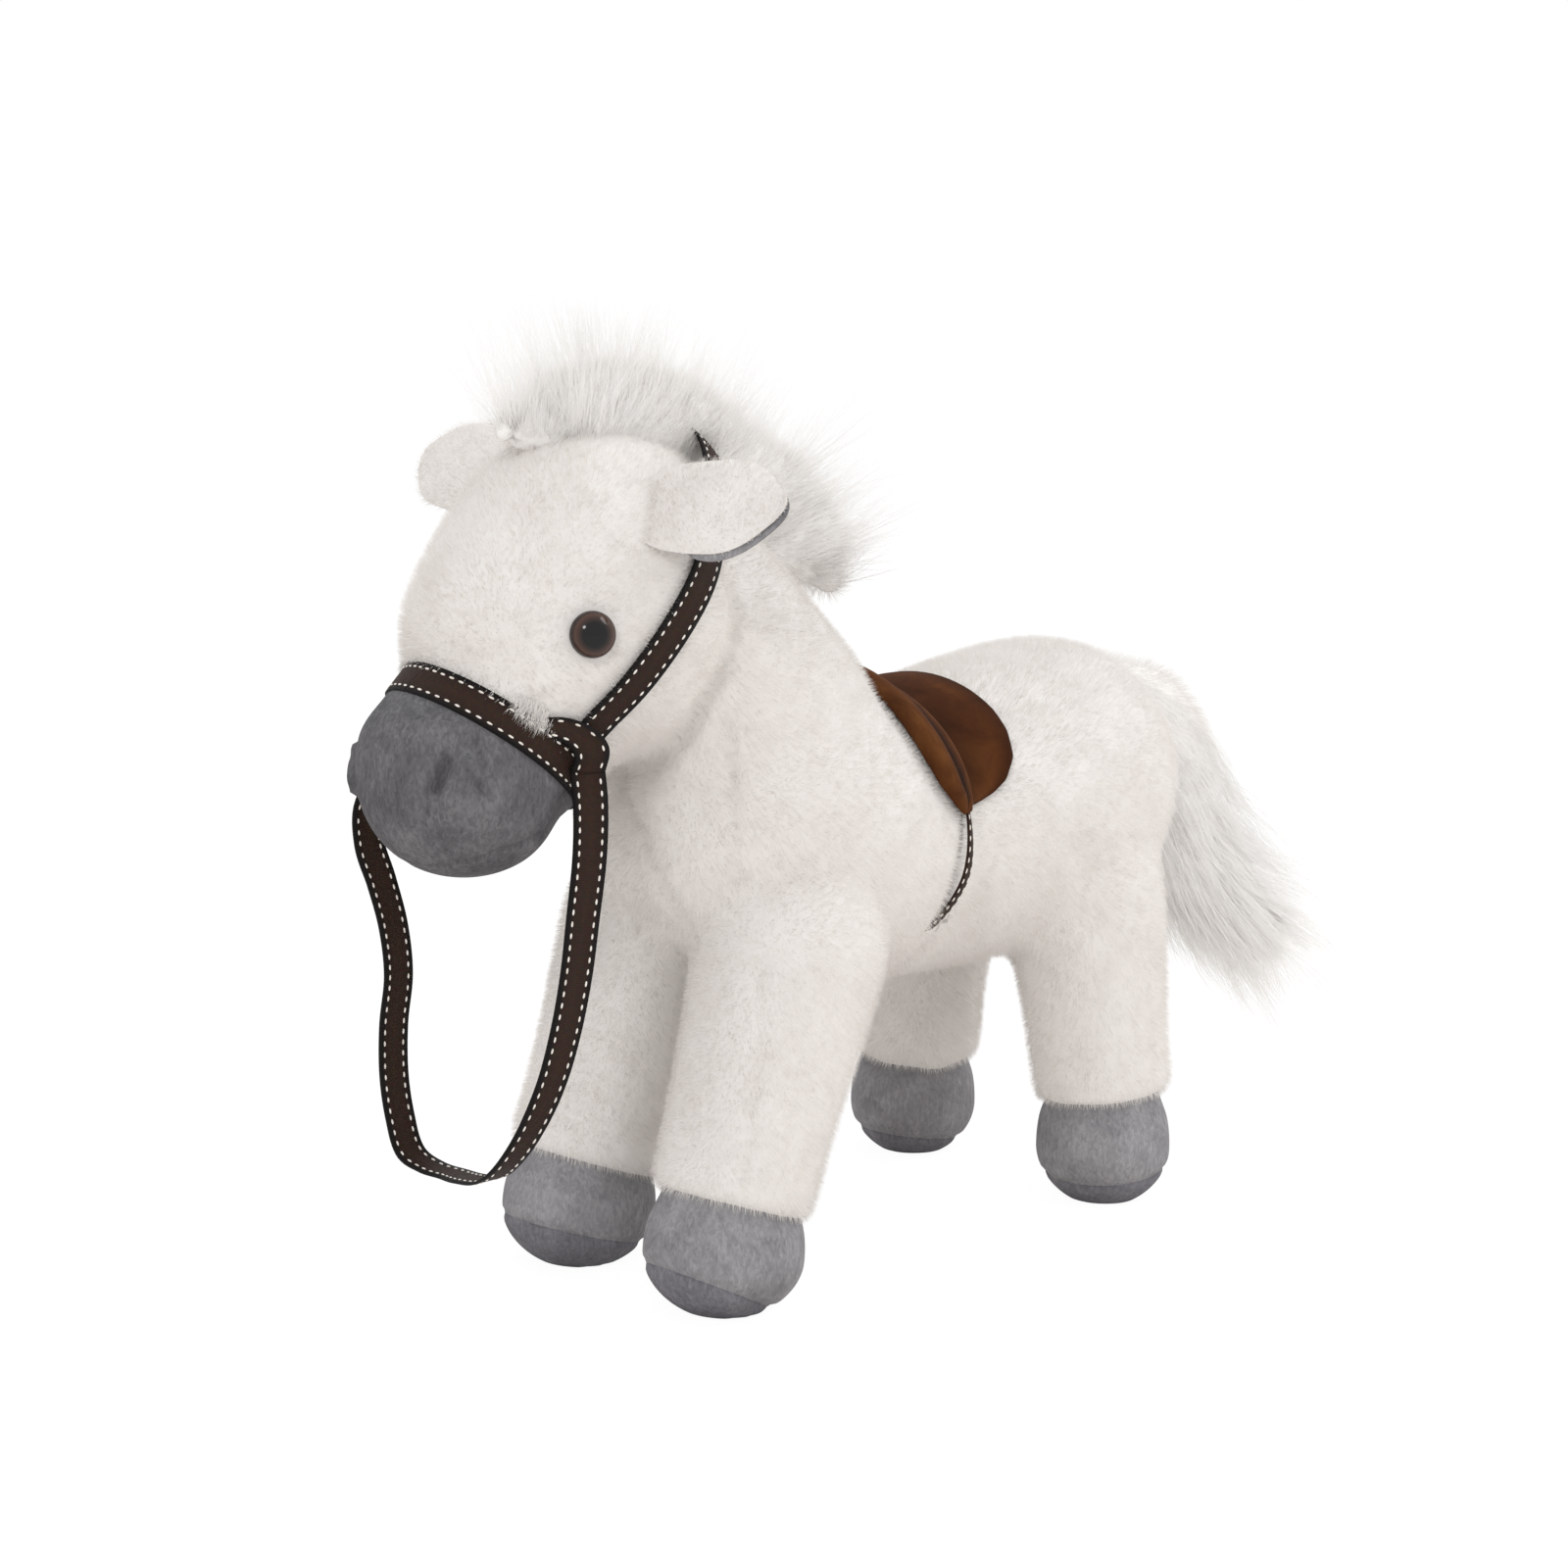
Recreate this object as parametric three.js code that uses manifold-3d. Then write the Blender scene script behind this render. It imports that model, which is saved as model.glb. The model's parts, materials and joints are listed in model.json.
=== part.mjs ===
// A plush horse standing on four stuffed legs, with mane, tail, saddle, halter and reins.
// Millimetres, +Z up. The head looks towards -Y and the horse's left side is +X.
// Heights start at the floor, and places along the horse start midway between its hooves.
// A rise or a drop is measured from the trunk's middle line, so the upper body follows that height.
import * as THREE from 'three';
import { mergeVertices } from 'three/addons/utils/BufferGeometryUtils.js';
import Module from 'manifold-3d';

const wasm = await Module();
wasm.setup();

// Cloth, ribbon and clearances
const plushWall = 4;
const velboaWall = 2.5;
const seamGap = 0.3;
const ribbonWidth = 9.5;
const ribbonThickness = 1;

// Stance of the four hooves
const hoofSpacing = 162;
const frontTrack = 63;
const rearTrack = 83;

// Trunk
const trunkLength = 221;
const trunkWidth = 118;
const trunkDepth = 98;
const chestReach = 92;
const trunkMiddleHeight = 128;

// Neck, from inside the shoulders up into the head
const neckWidth = 94;
const neckDepth = 96;
const neckBaseReach = 28;
const neckTopReach = 80;
const neckTopRise = 96;

// Head and muzzle on one line, from the lips up to the back of the skull
const headWidth = 85;
const headDepth = 89;
const lipsReach = 165;
const lipsRise = 8;
const skullReach = 63;
const skullRise = 104;
const noseSeamShare = 0.295;
const noseSeamPitch = 54 * Math.PI / 180;
const noseSeamSkew = 10 * Math.PI / 180;
const cheekReach = 126;
const cheekRise = 39;
const pollReach = 68;
const pollRise = 113;

// Legs, from inside the trunk down to the tops of the hooves
const frontLegWidth = 58;
const frontLegTopReach = 47;
const frontLegTopDrop = 20;
const frontLegTopTrack = 63;
const frontPasternSetback = 4;
const rearLegWidth = 54;
const rearLegTopReach = 79;
const rearLegTopDrop = 20;
const rearLegTopTrack = 68;

// Hooves and their soles
const frontHoofWidth = 46;
const frontHoofHeight = 32;
const rearHoofWidth = 43;
const rearHoofHeight = 36.5;
const hoofTuck = 14;
const hoofTuckSetback = 5;
const soleHeight = 9;
const soleRiseShare = 0.28;
const soleFlattening = 3;

// Ears
const earWidth = 29;
const earThickness = 9;
const earLiningThickness = 2.6;
const earSpan = 140;
const leftEarRootGap = 0.8;
const rightEarRootGap = 0.3;
const leftEarTipReach = 92;
const leftEarTipRise = 94.5;
const rightEarTipReach = 103;
const rightEarTipRise = 113;
const earLeafTilt = 53 * Math.PI / 180;

// Eyes: a dome with a post, held from inside by a washer
const eyeDiameter = 12;
const eyeDomeHeight = 4.2;
const eyeRimThickness = 2;
const eyePostDiameter = 3.2;
const eyePostLength = 9;
const eyeWasherDiameter = 13;
const eyeWasherThickness = 1.6;

// Mane and tail
const maneWidth = 36;
const maneDepth = 54;
const maneFrontReach = 136;
const maneFrontRise = 115;
const maneEndBack = 6;
const maneEndRise = 70;
const tailWidth = 40;
const tailDepth = 62;
const dockBack = 100;
const dockRise = 44;
const tailTipBack = 246;
const tailTipDrop = 73;

// Saddle, draped over the back just behind the girth
const saddleThickness = 3.2;
const saddleFoldWidth = 1.2;
const saddleFoldDepth = 1.8;
const saddleTipBack = 6;
const saddleTipRise = 3;
const saddleFrontReach = 14;
const saddleRearBack = 35;
const saddleTopRise = 62;
const saddleFoldTopReach = 6;
const girthBottomReach = 6;

// Tables of shares: along the form, then lift of its middle line, its width and its depth there
const trunkShares = [
  [0.00, 0.08, 0.82, 0.86],
  [0.15, 0.08, 0.86, 0.96],
  [0.31, 0.01, 0.93, 1.02],
  [0.41, -0.03, 0.94, 0.98],
  [0.47, -0.06, 0.78, 0.91],
  [0.58, -0.05, 0.84, 0.95],
  [0.70, -0.02, 0.94, 0.99],
  [0.86, 0.045, 0.98, 0.98],
  [1.00, 0.18, 0.96, 0.94],
];
const trunkRingShares = [
  0.008, 0.035, 0.08, 0.14, 0.21, 0.29, 0.36, 0.405, 0.43, 0.45, 0.475,
  0.52, 0.58, 0.65, 0.73, 0.81, 0.87, 0.92, 0.96, 0.985, 0.997,
];
const neckShares = [
  [0.00, 0.00, 0.98, 1.00],
  [0.35, 0.02, 0.93, 0.90],
  [0.70, 0.05, 0.79, 0.73],
  [1.00, 0.02, 0.76, 0.66],
];
const headShares = [
  [0.00, 0.00, 0.66, 0.60],
  [0.14, 0.00, 0.69, 0.64],
  [0.25, 0.005, 0.62, 0.595],
  [0.33, 0.00, 0.68, 0.67],
  [0.45, 0.035, 0.89, 0.90],
  [0.62, 0.03, 1.00, 1.01],
  [0.80, 0.03, 0.97, 1.04],
  [1.00, 0.00, 0.82, 0.96],
];
const headRingShares = [
  0.008, 0.03, 0.07, 0.12, 0.18, 0.235, 0.275, 0.315, 0.37,
  0.45, 0.54, 0.63, 0.72, 0.80, 0.88, 0.94, 0.985,
];
const legShares = [
  [0.00, 0.00, 1.02, 1.04],
  [0.35, 0.02, 0.96, 0.98],
  [0.75, 0.01, 0.86, 0.86],
  [1.00, 0.00, 0.84, 0.84],
];
const hoofShares = [
  [0.00, 0.00, 0.94, 0.96],
  [0.35, 0.00, 1.00, 1.00],
  [0.70, 0.00, 0.99, 0.99],
  [1.00, 0.00, 0.86, 0.86],
];
const earShares = [
  [0.00, 0.00, 0.80, 0.90],
  [0.40, 0.06, 1.00, 1.00],
  [0.75, 0.02, 0.84, 0.85],
  [1.00, -0.10, 0.60, 0.60],
];
const maneShares = [
  [0.00, 0.00, 0.70, 0.60],
  [0.20, 0.26, 0.95, 0.88],
  [0.45, 0.32, 1.00, 0.92],
  [0.70, 0.32, 0.95, 0.94],
  [0.88, 0.18, 0.85, 0.84],
  [1.00, 0.00, 0.70, 0.60],
];
const tailShares = [
  [0.000, 0.000, 0.70, 0.20],
  [0.065, 0.045, 0.80, 0.35],
  [0.215, 0.120, 0.88, 0.68],
  [0.300, 0.135, 0.94, 0.90],
  [0.380, 0.095, 1.00, 1.00],
  [0.464, 0.010, 1.00, 0.97],
  [0.574, -0.075, 1.00, 0.91],
  [0.707, -0.100, 0.92, 0.75],
  [0.860, -0.077, 0.75, 0.54],
  [1.000, -0.090, 0.50, 0.42],
];

// The reins, one ribbon hanging in a loop from one side of the noseband to the other: side, back, rise
const reinRoute = [
  [30.35, -127, 30.5], [31.7, -127, 20], [32.2, -128, 6], [31.6, -130, -10], [31, -132, -25],
  [30, -135, -40], [28.4, -139, -54], [25, -144, -67], [19, -147, -76.5], [10, -146, -82],
  [-1, -144, -84.4], [-12, -141, -86], [-22, -141, -86], [-30, -142, -83], [-34.5, -142, -74],
  [-37, -142, -62], [-38, -141, -48], [-38, -139, -34], [-38.6, -140, -20], [-39.6, -143, -7],
  [-39.6, -147, 5], [-38, -147, 17], [-35.2, -138, 24], [-31.2, -129, 30.5],
];
const reinTwist = 25 * Math.PI / 180;
const reinTwistShare = 0.34;

const cutReach = 3 * trunkLength;
const acrossX = new THREE.Vector3(1, 0, 0);
const upZ = new THREE.Vector3(0, 0, 1);
const point = (side, back, height) => new THREE.Vector3(side, back, height);
const raised = (side, back, rise) => point(side, back, trunkMiddleHeight + rise);

// A smooth value between the rows of a table, whose first column says how far along each row lies
function between(shares, along, column) {
  const last = shares.length - 1;
  let row = 0;
  while (row < last - 1 && shares[row + 1][0] < along) row += 1;
  const slope = (at) => {
    const before = shares[Math.max(at - 1, 0)];
    const after = shares[Math.min(at + 1, last)];
    return (after[column] - before[column]) / (after[0] - before[0]);
  };
  const span = shares[row + 1][0] - shares[row][0];
  const part = (along - shares[row][0]) / span;
  const blend = part * part * (3 - 2 * part);
  const leave = part * (1 - part) * (1 - part) * span * slope(row);
  const arrive = part * part * (part - 1) * span * slope(row + 1);
  return shares[row][column] * (1 - blend) + shares[row + 1][column] * blend + leave + arrive;
}

// How full a rounded end still is, from nothing at its tip to one where the round stretch ends
function roundedEnd(distance, stretch) {
  if (stretch === 0 || distance >= stretch) return 1;
  const missing = 1 - distance / stretch;
  return Math.sqrt(1 - missing * missing);
}

// Turns one closed geometry into a solid that can be joined and cut
function toSolid(geometry) {
  const bare = geometry.clone();
  bare.deleteAttribute('normal');
  bare.deleteAttribute('uv');
  const merged = mergeVertices(bare);
  const mesh = new wasm.Mesh({
    numProp: 3,
    vertProperties: new Float32Array(merged.attributes.position.array),
    triVerts: new Uint32Array(merged.index.array),
  });
  return new wasm.Manifold(mesh);
}

// Moves every vertex of a smooth closed geometry out along its normal
function swell(geometry, distance) {
  geometry.computeVertexNormals();
  const places = geometry.attributes.position;
  const normals = geometry.attributes.normal;
  const place = new THREE.Vector3();
  const normal = new THREE.Vector3();
  for (let i = 0; i < places.count; i += 1) {
    place.fromBufferAttribute(places, i);
    normal.fromBufferAttribute(normals, i);
    place.addScaledVector(normal, distance);
    places.setXYZ(i, place.x, place.y, place.z);
  }
  geometry.deleteAttribute('normal');
  return geometry;
}

// The middle of a form's section at a share of its run, and the section's directions and half sizes
function sectionAt(form, along) {
  const run = form.to.clone().sub(form.from);
  const lift = form.across.clone().cross(run).normalize();
  const middle = (share) => form.from.clone()
    .addScaledVector(run, share)
    .addScaledVector(lift, between(form.shares, share, 1) * form.depth);
  const stepShare = 0.01;
  const before = middle(Math.max(along - stepShare, 0));
  const bent = middle(Math.min(along + stepShare, 1)).sub(before);
  const ahead = (form.squareOn ? run.clone() : bent).normalize();
  const side = form.across.clone().addScaledVector(ahead, -form.across.dot(ahead)).normalize();
  const full = roundedEnd(along, form.roundStart) * roundedEnd(1 - along, form.roundEnd);
  return {
    middle: middle(along),
    ahead,
    side,
    depthway: side.clone().cross(ahead),
    halfWidth: between(form.shares, along, 2) * form.width * full / 2,
    halfDepth: between(form.shares, along, 3) * form.depth * full / 2,
  };
}

// A point on a form's skin, turned by an angle from its side, and the way straight out of the skin there
function skinAt(form, along, angle) {
  const place = (share, turn) => {
    const at = sectionAt(form, share);
    return at.middle
      .addScaledVector(at.side, Math.cos(turn) * at.halfWidth)
      .addScaledVector(at.depthway, Math.sin(turn) * at.halfDepth);
  };
  const step = 0.01;
  const alongWay = place(along + step, angle).sub(place(along - step, angle));
  const roundWay = place(along, angle + step).sub(place(along, angle - step));
  return { spot: place(along, angle), out: alongWay.cross(roundWay).normalize() };
}

// Where a form's rings lie: given by the form, or closer together towards each rounded end
function ringSharesOf(form, finenessShare) {
  if (form.ringShares) return form.ringShares;
  const rings = Math.round(form.rings * finenessShare);
  const firstRing = form.roundStart > 0 ? 1 : 0;
  const lastRing = form.roundEnd > 0 ? rings - 1 : rings;
  const ringShares = [];
  for (let ring = firstRing; ring <= lastRing; ring += 1) {
    const step = ring / rings;
    if (form.roundStart > 0 && form.roundEnd > 0) ringShares.push((1 - Math.cos(Math.PI * step)) / 2);
    else if (form.roundStart > 0) ringShares.push(1 - Math.cos(Math.PI * step / 2));
    else ringShares.push(step);
  }
  return ringShares;
}

// A stuffed form that swells and tapers along its run, its ends round, or flat where the round is zero
function stuffed(form, grow = 0, finenessShare = 1) {
  const sides = Math.round(form.sides * finenessShare);
  const places = [...sectionAt(form, 0).middle.toArray()];
  for (const share of ringSharesOf(form, finenessShare)) {
    const at = sectionAt(form, share);
    for (let i = 0; i < sides; i += 1) {
      const angle = 2 * Math.PI * i / sides;
      const place = at.middle.clone()
        .addScaledVector(at.side, Math.cos(angle) * at.halfWidth)
        .addScaledVector(at.depthway, Math.sin(angle) * at.halfDepth);
      places.push(...place.toArray());
    }
  }
  places.push(...sectionAt(form, 1).middle.toArray());
  return toSolid(swell(ringedGeometry(places, sides), grow));
}

// Joins a first point, rings of points and a last point into one closed geometry
function ringedGeometry(places, sides) {
  const endPoint = places.length / 3 - 1;
  const ringCount = (endPoint - 1) / sides;
  const faces = [];
  for (let i = 0; i < sides; i += 1) {
    const next = (i + 1) % sides;
    faces.push(0, 1 + i, 1 + next);
    for (let ring = 0; ring < ringCount - 1; ring += 1) {
      const here = 1 + ring * sides;
      const there = here + sides;
      faces.push(here + i, there + i, there + next);
      faces.push(here + i, there + next, here + next);
    }
    const rim = 1 + (ringCount - 1) * sides;
    faces.push(endPoint, rim + next, rim + i);
  }
  const geometry = new THREE.BufferGeometry();
  geometry.setAttribute('position', new THREE.Float32BufferAttribute(places, 3));
  geometry.setIndex(faces);
  return geometry;
}

// A block for cutting: everything beyond a spot in a direction, or only a band of a given thickness
function blockBeyond(spot, direction, thickness = cutReach) {
  const geometry = new THREE.BoxGeometry(cutReach, cutReach, thickness);
  geometry.translate(0, 0, thickness / 2);
  geometry.applyQuaternion(new THREE.Quaternion().setFromUnitVectors(upZ, direction));
  geometry.translate(spot.x, spot.y, spot.z);
  return toSolid(geometry);
}

function bandAt(spot, direction, thickness) {
  const start = spot.clone().addScaledVector(direction, -thickness / 2);
  return blockBeyond(start, direction, thickness);
}

// The largest single body that a cut leaves, without its offcuts
function largestBody(solid) {
  const bodies = solid.decompose();
  return bodies.reduce((best, body) => (body.volume() > best.volume() ? body : best));
}

function joined(solids) {
  return solids.reduce((whole, solid) => whole.add(solid));
}

// Materials
const finish = (color, roughness) => new THREE.MeshStandardMaterial({ color, roughness });
const whitePlush = finish(0xf1eeea, 1);
const whiteFur = finish(0xf4f2ef, 1);
const greyVelboa = finish(0x83858b, 0.95);
const darkVelboa = finish(0x6c6e76, 0.95);
const brownRibbon = finish(0x35221c, 0.7);
const brownSuede = finish(0x5b3818, 0.9);
const eyePlastic = finish(0x2a1712, 0.12);
const clearPlastic = finish(0xd8d8d8, 0.5);
const fibreFill = finish(0xf7f7f7, 1);

const horse = new THREE.Group();

// Puts a finished solid into the horse as a named piece
function addPiece(name, solid, material) {
  const mesh = solid.getMesh();
  const geometry = new THREE.BufferGeometry();
  geometry.setAttribute('position', new THREE.BufferAttribute(mesh.vertProperties.slice(), 3));
  geometry.setIndex(new THREE.BufferAttribute(mesh.triVerts.slice(), 1));
  const piece = new THREE.Mesh(geometry, material);
  piece.name = name;
  horse.add(piece);
}

// Forms of the trunk, neck and head
const trunk = {
  from: raised(0, -chestReach, 0),
  to: raised(0, trunkLength - chestReach, 0),
  across: acrossX, shares: trunkShares, width: trunkWidth, depth: trunkDepth,
  roundStart: 0.24, roundEnd: 0.18, sides: 18, ringShares: trunkRingShares, squareOn: true,
};
const neck = {
  from: raised(0, -neckBaseReach, 0),
  to: raised(0, -neckTopReach, neckTopRise),
  across: acrossX, shares: neckShares, width: neckWidth, depth: neckDepth,
  roundStart: 0.3, roundEnd: 0.3, sides: 20, rings: 9,
};
const head = {
  from: raised(0, -lipsReach, lipsRise),
  to: raised(0, -skullReach, skullRise),
  across: acrossX, shares: headShares, width: headWidth, depth: headDepth,
  roundStart: 0.2, roundEnd: 0.34, sides: 18, ringShares: headRingShares,
};

// A leg, its hoof and the planes of its two seams, for either side and either end of the horse
function limb(atFront, side) {
  const top = atFront
    ? raised(side * frontLegTopTrack / 2, -frontLegTopReach, -frontLegTopDrop)
    : raised(side * rearLegTopTrack / 2, rearLegTopReach, -rearLegTopDrop);
  const foot = atFront
    ? point(side * frontTrack / 2, -hoofSpacing / 2, 0)
    : point(side * rearTrack / 2, hoofSpacing / 2, 0);
  const height = atFront ? frontHoofHeight : rearHoofHeight;
  const setback = atFront ? frontPasternSetback : 0;
  const ankle = foot.clone().add(point(0, setback, height));
  const legWidth = atFront ? frontLegWidth : rearLegWidth;
  const hoofWidth = atFront ? frontHoofWidth : rearHoofWidth;
  const leg = {
    from: top, to: ankle, across: acrossX, shares: legShares, width: legWidth, depth: legWidth,
    roundStart: 0.3, roundEnd: 0, sides: 16, rings: 7,
  };
  const hoof = {
    from: foot.clone().add(point(0, 0, -soleFlattening)),
    to: foot.clone().add(point(0, atFront ? hoofTuckSetback : 0, height + hoofTuck)),
    across: acrossX, shares: hoofShares, width: hoofWidth, depth: hoofWidth,
    roundStart: 0.36, roundEnd: 0.12, sides: 16, rings: 8,
  };
  return {
    leg,
    hoof,
    ankle,
    legWay: sectionAt(leg, 1).ahead,
    soleSpot: foot.clone().add(point(0, 0, soleHeight)),
    soleWay: point(0, soleRiseShare, 1).normalize(),
  };
}
const limbs = {
  front_left: limb(true, 1),
  front_right: limb(true, -1),
  rear_left: limb(false, 1),
  rear_right: limb(false, -1),
};
const limbList = Object.values(limbs);

// The hollow inside the sewn covers, and the fibre that fills it, both less finely faceted than the skin
const hollowFinenessShare = 0.4545;
const floorLevel = point(0, 0, 0);
const downZ = point(0, 0, -1);
const belowFloor = blockBeyond(floorLevel, downZ);

function insideOfCovers(inset) {
  const plushForms = [trunk, neck, head, ...limbList.map((each) => each.leg)];
  const velboaForms = limbList.map((each) => each.hoof);
  const inside = joined([
    ...plushForms.map((form) => stuffed(form, -plushWall - inset, hollowFinenessShare)),
    ...velboaForms.map((form) => stuffed(form, -velboaWall - inset, hollowFinenessShare)),
  ]);
  return inside.subtract(blockBeyond(point(0, 0, velboaWall + inset), downZ));
}
const hollow = insideOfCovers(0);

const trunkSkin = stuffed(trunk);
const trunkClear = stuffed(trunk, seamGap);
const neckSkin = stuffed(neck);
const headSkin = stuffed(head);
const headClear = stuffed(head, seamGap);

// Eyes: each sits in a pocket of the head cover, its post pushed through into the washer
const eyeAlongShare = 0.468;
const eyeAngle = 0.35;

function turned(profile, segments) {
  const outline = profile.map(([radius, height]) => new THREE.Vector2(radius, height));
  const geometry = new THREE.LatheGeometry(outline, segments);
  geometry.rotateX(Math.PI / 2);
  return geometry;
}

function placedAt(geometry, seat) {
  geometry.applyQuaternion(new THREE.Quaternion().setFromUnitVectors(upZ, seat.out));
  geometry.translate(seat.spot.x, seat.spot.y, seat.spot.z);
  return toSolid(geometry);
}

// An eye's profile from the end of its post up to the top of its dome
function eyeProfile(clearance) {
  const radius = eyeDiameter / 2 + clearance;
  const post = eyePostDiameter / 2 + clearance;
  const domeSteps = 4;
  const profile = [
    [0, -eyePostLength - clearance], [post, -eyePostLength - clearance],
    [post, -eyeRimThickness - clearance], [radius, -eyeRimThickness - clearance],
  ];
  for (let step = 0; step < domeSteps; step += 1) {
    const angle = Math.PI / 2 * step / domeSteps;
    profile.push([radius * Math.cos(angle), (eyeDomeHeight + clearance) * Math.sin(angle)]);
  }
  profile.push([0, eyeDomeHeight + clearance]);
  return profile;
}

// A washer's profile, a flat ring just under the cover, closed on itself
function washerProfile(clearance) {
  const inner = eyePostDiameter / 2 + seamGap - clearance;
  const outer = eyeWasherDiameter / 2 + clearance;
  const top = -plushWall - seamGap + clearance;
  const bottom = -plushWall - seamGap - eyeWasherThickness - clearance;
  return [[inner, bottom], [outer, bottom], [outer, top], [inner, top], [inner, bottom]];
}
const eyeSegments = 12;
const eyeSeats = {
  left: skinAt(head, eyeAlongShare, eyeAngle),
  right: skinAt(head, eyeAlongShare, Math.PI - eyeAngle),
};
const eyePockets = joined(Object.values(eyeSeats).flatMap((seat) => [
  placedAt(turned(eyeProfile(seamGap), eyeSegments), seat),
  placedAt(turned(washerProfile(seamGap), eyeSegments), seat),
]));

// The sewn seam between the head and the muzzle, hidden under the noseband
const noseSpot = sectionAt(head, noseSeamShare).middle;
const noseWay = point(
  -Math.sin(noseSeamSkew) * Math.cos(noseSeamPitch),
  -Math.cos(noseSeamSkew) * Math.cos(noseSeamPitch),
  -Math.sin(noseSeamPitch),
);
const backWay = noseWay.clone().negate();

const headCover = headSkin
  .subtract(blockBeyond(noseSpot.clone().addScaledVector(backWay, seamGap / 2), noseWay))
  .subtract(trunkClear)
  .subtract(hollow)
  .subtract(eyePockets);
addPiece('head_cover', largestBody(headCover), whitePlush);

const muzzleCover = headSkin
  .subtract(blockBeyond(noseSpot.clone().addScaledVector(noseWay, seamGap / 2), backWay))
  .subtract(hollow);
addPiece('muzzle_cover', largestBody(muzzleCover), greyVelboa);

const neckCover = neckSkin.subtract(headClear).subtract(trunkClear).subtract(hollow);
addPiece('neck_cover', largestBody(neckCover), whitePlush);
addPiece('trunk_cover', largestBody(trunkSkin.subtract(hollow)), whitePlush);

for (const [name, each] of Object.entries(limbs)) {
  const legCover = stuffed(each.leg).subtract(trunkClear).subtract(stuffed(neck, seamGap)).subtract(hollow);
  addPiece(`${name}_leg_cover`, largestBody(legCover), whitePlush);

  const hoofTop = each.ankle.clone().addScaledVector(each.legWay, seamGap);
  const hoofSkin = stuffed(each.hoof)
    .subtract(blockBeyond(hoofTop, each.legWay.clone().negate()))
    .subtract(belowFloor);
  const soleUp = each.soleWay;
  const soleDown = soleUp.clone().negate();
  const hoofCover = hoofSkin
    .subtract(blockBeyond(each.soleSpot.clone().addScaledVector(soleUp, seamGap / 2), soleDown))
    .subtract(hollow);
  addPiece(`${name}_hoof_cover`, largestBody(hoofCover), greyVelboa);
  const sole = hoofSkin
    .subtract(blockBeyond(each.soleSpot.clone().addScaledVector(soleDown, seamGap / 2), soleUp))
    .subtract(hollow);
  addPiece(`${name}_hoof_sole`, largestBody(sole), darkVelboa);
}

for (const [name, seat] of Object.entries(eyeSeats)) {
  addPiece(`${name}_eye`, placedAt(turned(eyeProfile(0), eyeSegments), seat), eyePlastic);
  addPiece(`${name}_eye_washer`, placedAt(turned(washerProfile(0), eyeSegments), seat), clearPlastic);
}
addPiece('polyester_filling', largestBody(insideOfCovers(seamGap).subtract(eyePockets)), fibreFill);

// The halter: a noseband over the nose seam and a headstall from its sides up over the poll
const ribbonInner = seamGap;
const ribbonOuter = seamGap + ribbonThickness;
const headShell = stuffed(head, ribbonOuter).subtract(stuffed(head, ribbonInner));
const noseband = headShell.intersect(bandAt(noseSpot, noseWay, ribbonWidth));
addPiece('noseband', largestBody(noseband), brownRibbon);

const headstallLow = raised(0, -cheekReach, cheekRise);
const headstallRun = raised(0, -pollReach, pollRise).sub(headstallLow).normalize();
const headstallWay = acrossX.clone().cross(headstallRun);
const behindNoseband = noseSpot.clone().addScaledVector(backWay, ribbonWidth / 2 + seamGap);
const headstall = headShell
  .intersect(bandAt(headstallLow, headstallWay, ribbonWidth))
  .subtract(blockBeyond(behindNoseband, noseWay))
  .subtract(stuffed(neck, seamGap));
addPiece('headstall', largestBody(headstall), brownRibbon);
const headstallClear = stuffed(head, ribbonOuter + seamGap)
  .intersect(bandAt(headstallLow, headstallWay, ribbonWidth + 2 * seamGap));

// Ears: a white back and a grey lining, both curved like one leaf
const earAlongShare = 0.78;
const earAngle = 0.36;
const earLeafWay = point(0, Math.cos(earLeafTilt), Math.sin(earLeafTilt));
const earLiningWay = point(0, Math.sin(earLeafTilt), -Math.cos(earLeafTilt));

function ear(side) {
  const seat = skinAt(head, earAlongShare, side > 0 ? earAngle : Math.PI - earAngle);
  const tip = side > 0
    ? raised(earSpan / 2, -leftEarTipReach, leftEarTipRise)
    : raised(-earSpan / 2, -rightEarTipReach, rightEarTipRise);
  return {
    from: seat.spot.addScaledVector(seat.out, side > 0 ? leftEarRootGap : rightEarRootGap),
    to: tip,
    across: earLeafWay, shares: earShares, width: earWidth, depth: earThickness,
    roundStart: 0.2, roundEnd: 0.45, sides: 12, rings: 8,
  };
}
for (const [name, side] of [['left', 1], ['right', -1]]) {
  const leaf = ear(side);
  const shifted = (distance) => stuffed({
    ...leaf,
    from: leaf.from.clone().addScaledVector(earLiningWay, -distance),
    to: leaf.to.clone().addScaledVector(earLiningWay, -distance),
  });
  const obstacles = joined([headClear, headstallClear]);
  const earSkin = stuffed(leaf).subtract(obstacles);
  const earBack = earSkin.intersect(shifted(earLiningThickness + seamGap));
  addPiece(`${name}_ear_cover`, largestBody(earBack), whitePlush);
  addPiece(`${name}_ear_lining`, largestBody(earSkin.subtract(shifted(earLiningThickness))), greyVelboa);
}

// Mane along the crest, from the forehead to the withers
const mane = {
  from: raised(0, -maneFrontReach, maneFrontRise),
  to: raised(0, maneEndBack, maneEndRise),
  across: acrossX, shares: maneShares, width: maneWidth, depth: maneDepth,
  roundStart: 0.2, roundEnd: 0.2, sides: 14, rings: 11,
};
const maneBody = stuffed(mane)
  .subtract(headClear)
  .subtract(stuffed(neck, seamGap))
  .subtract(trunkClear)
  .subtract(headstallClear);
addPiece('mane', largestBody(maneBody), whiteFur);

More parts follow.
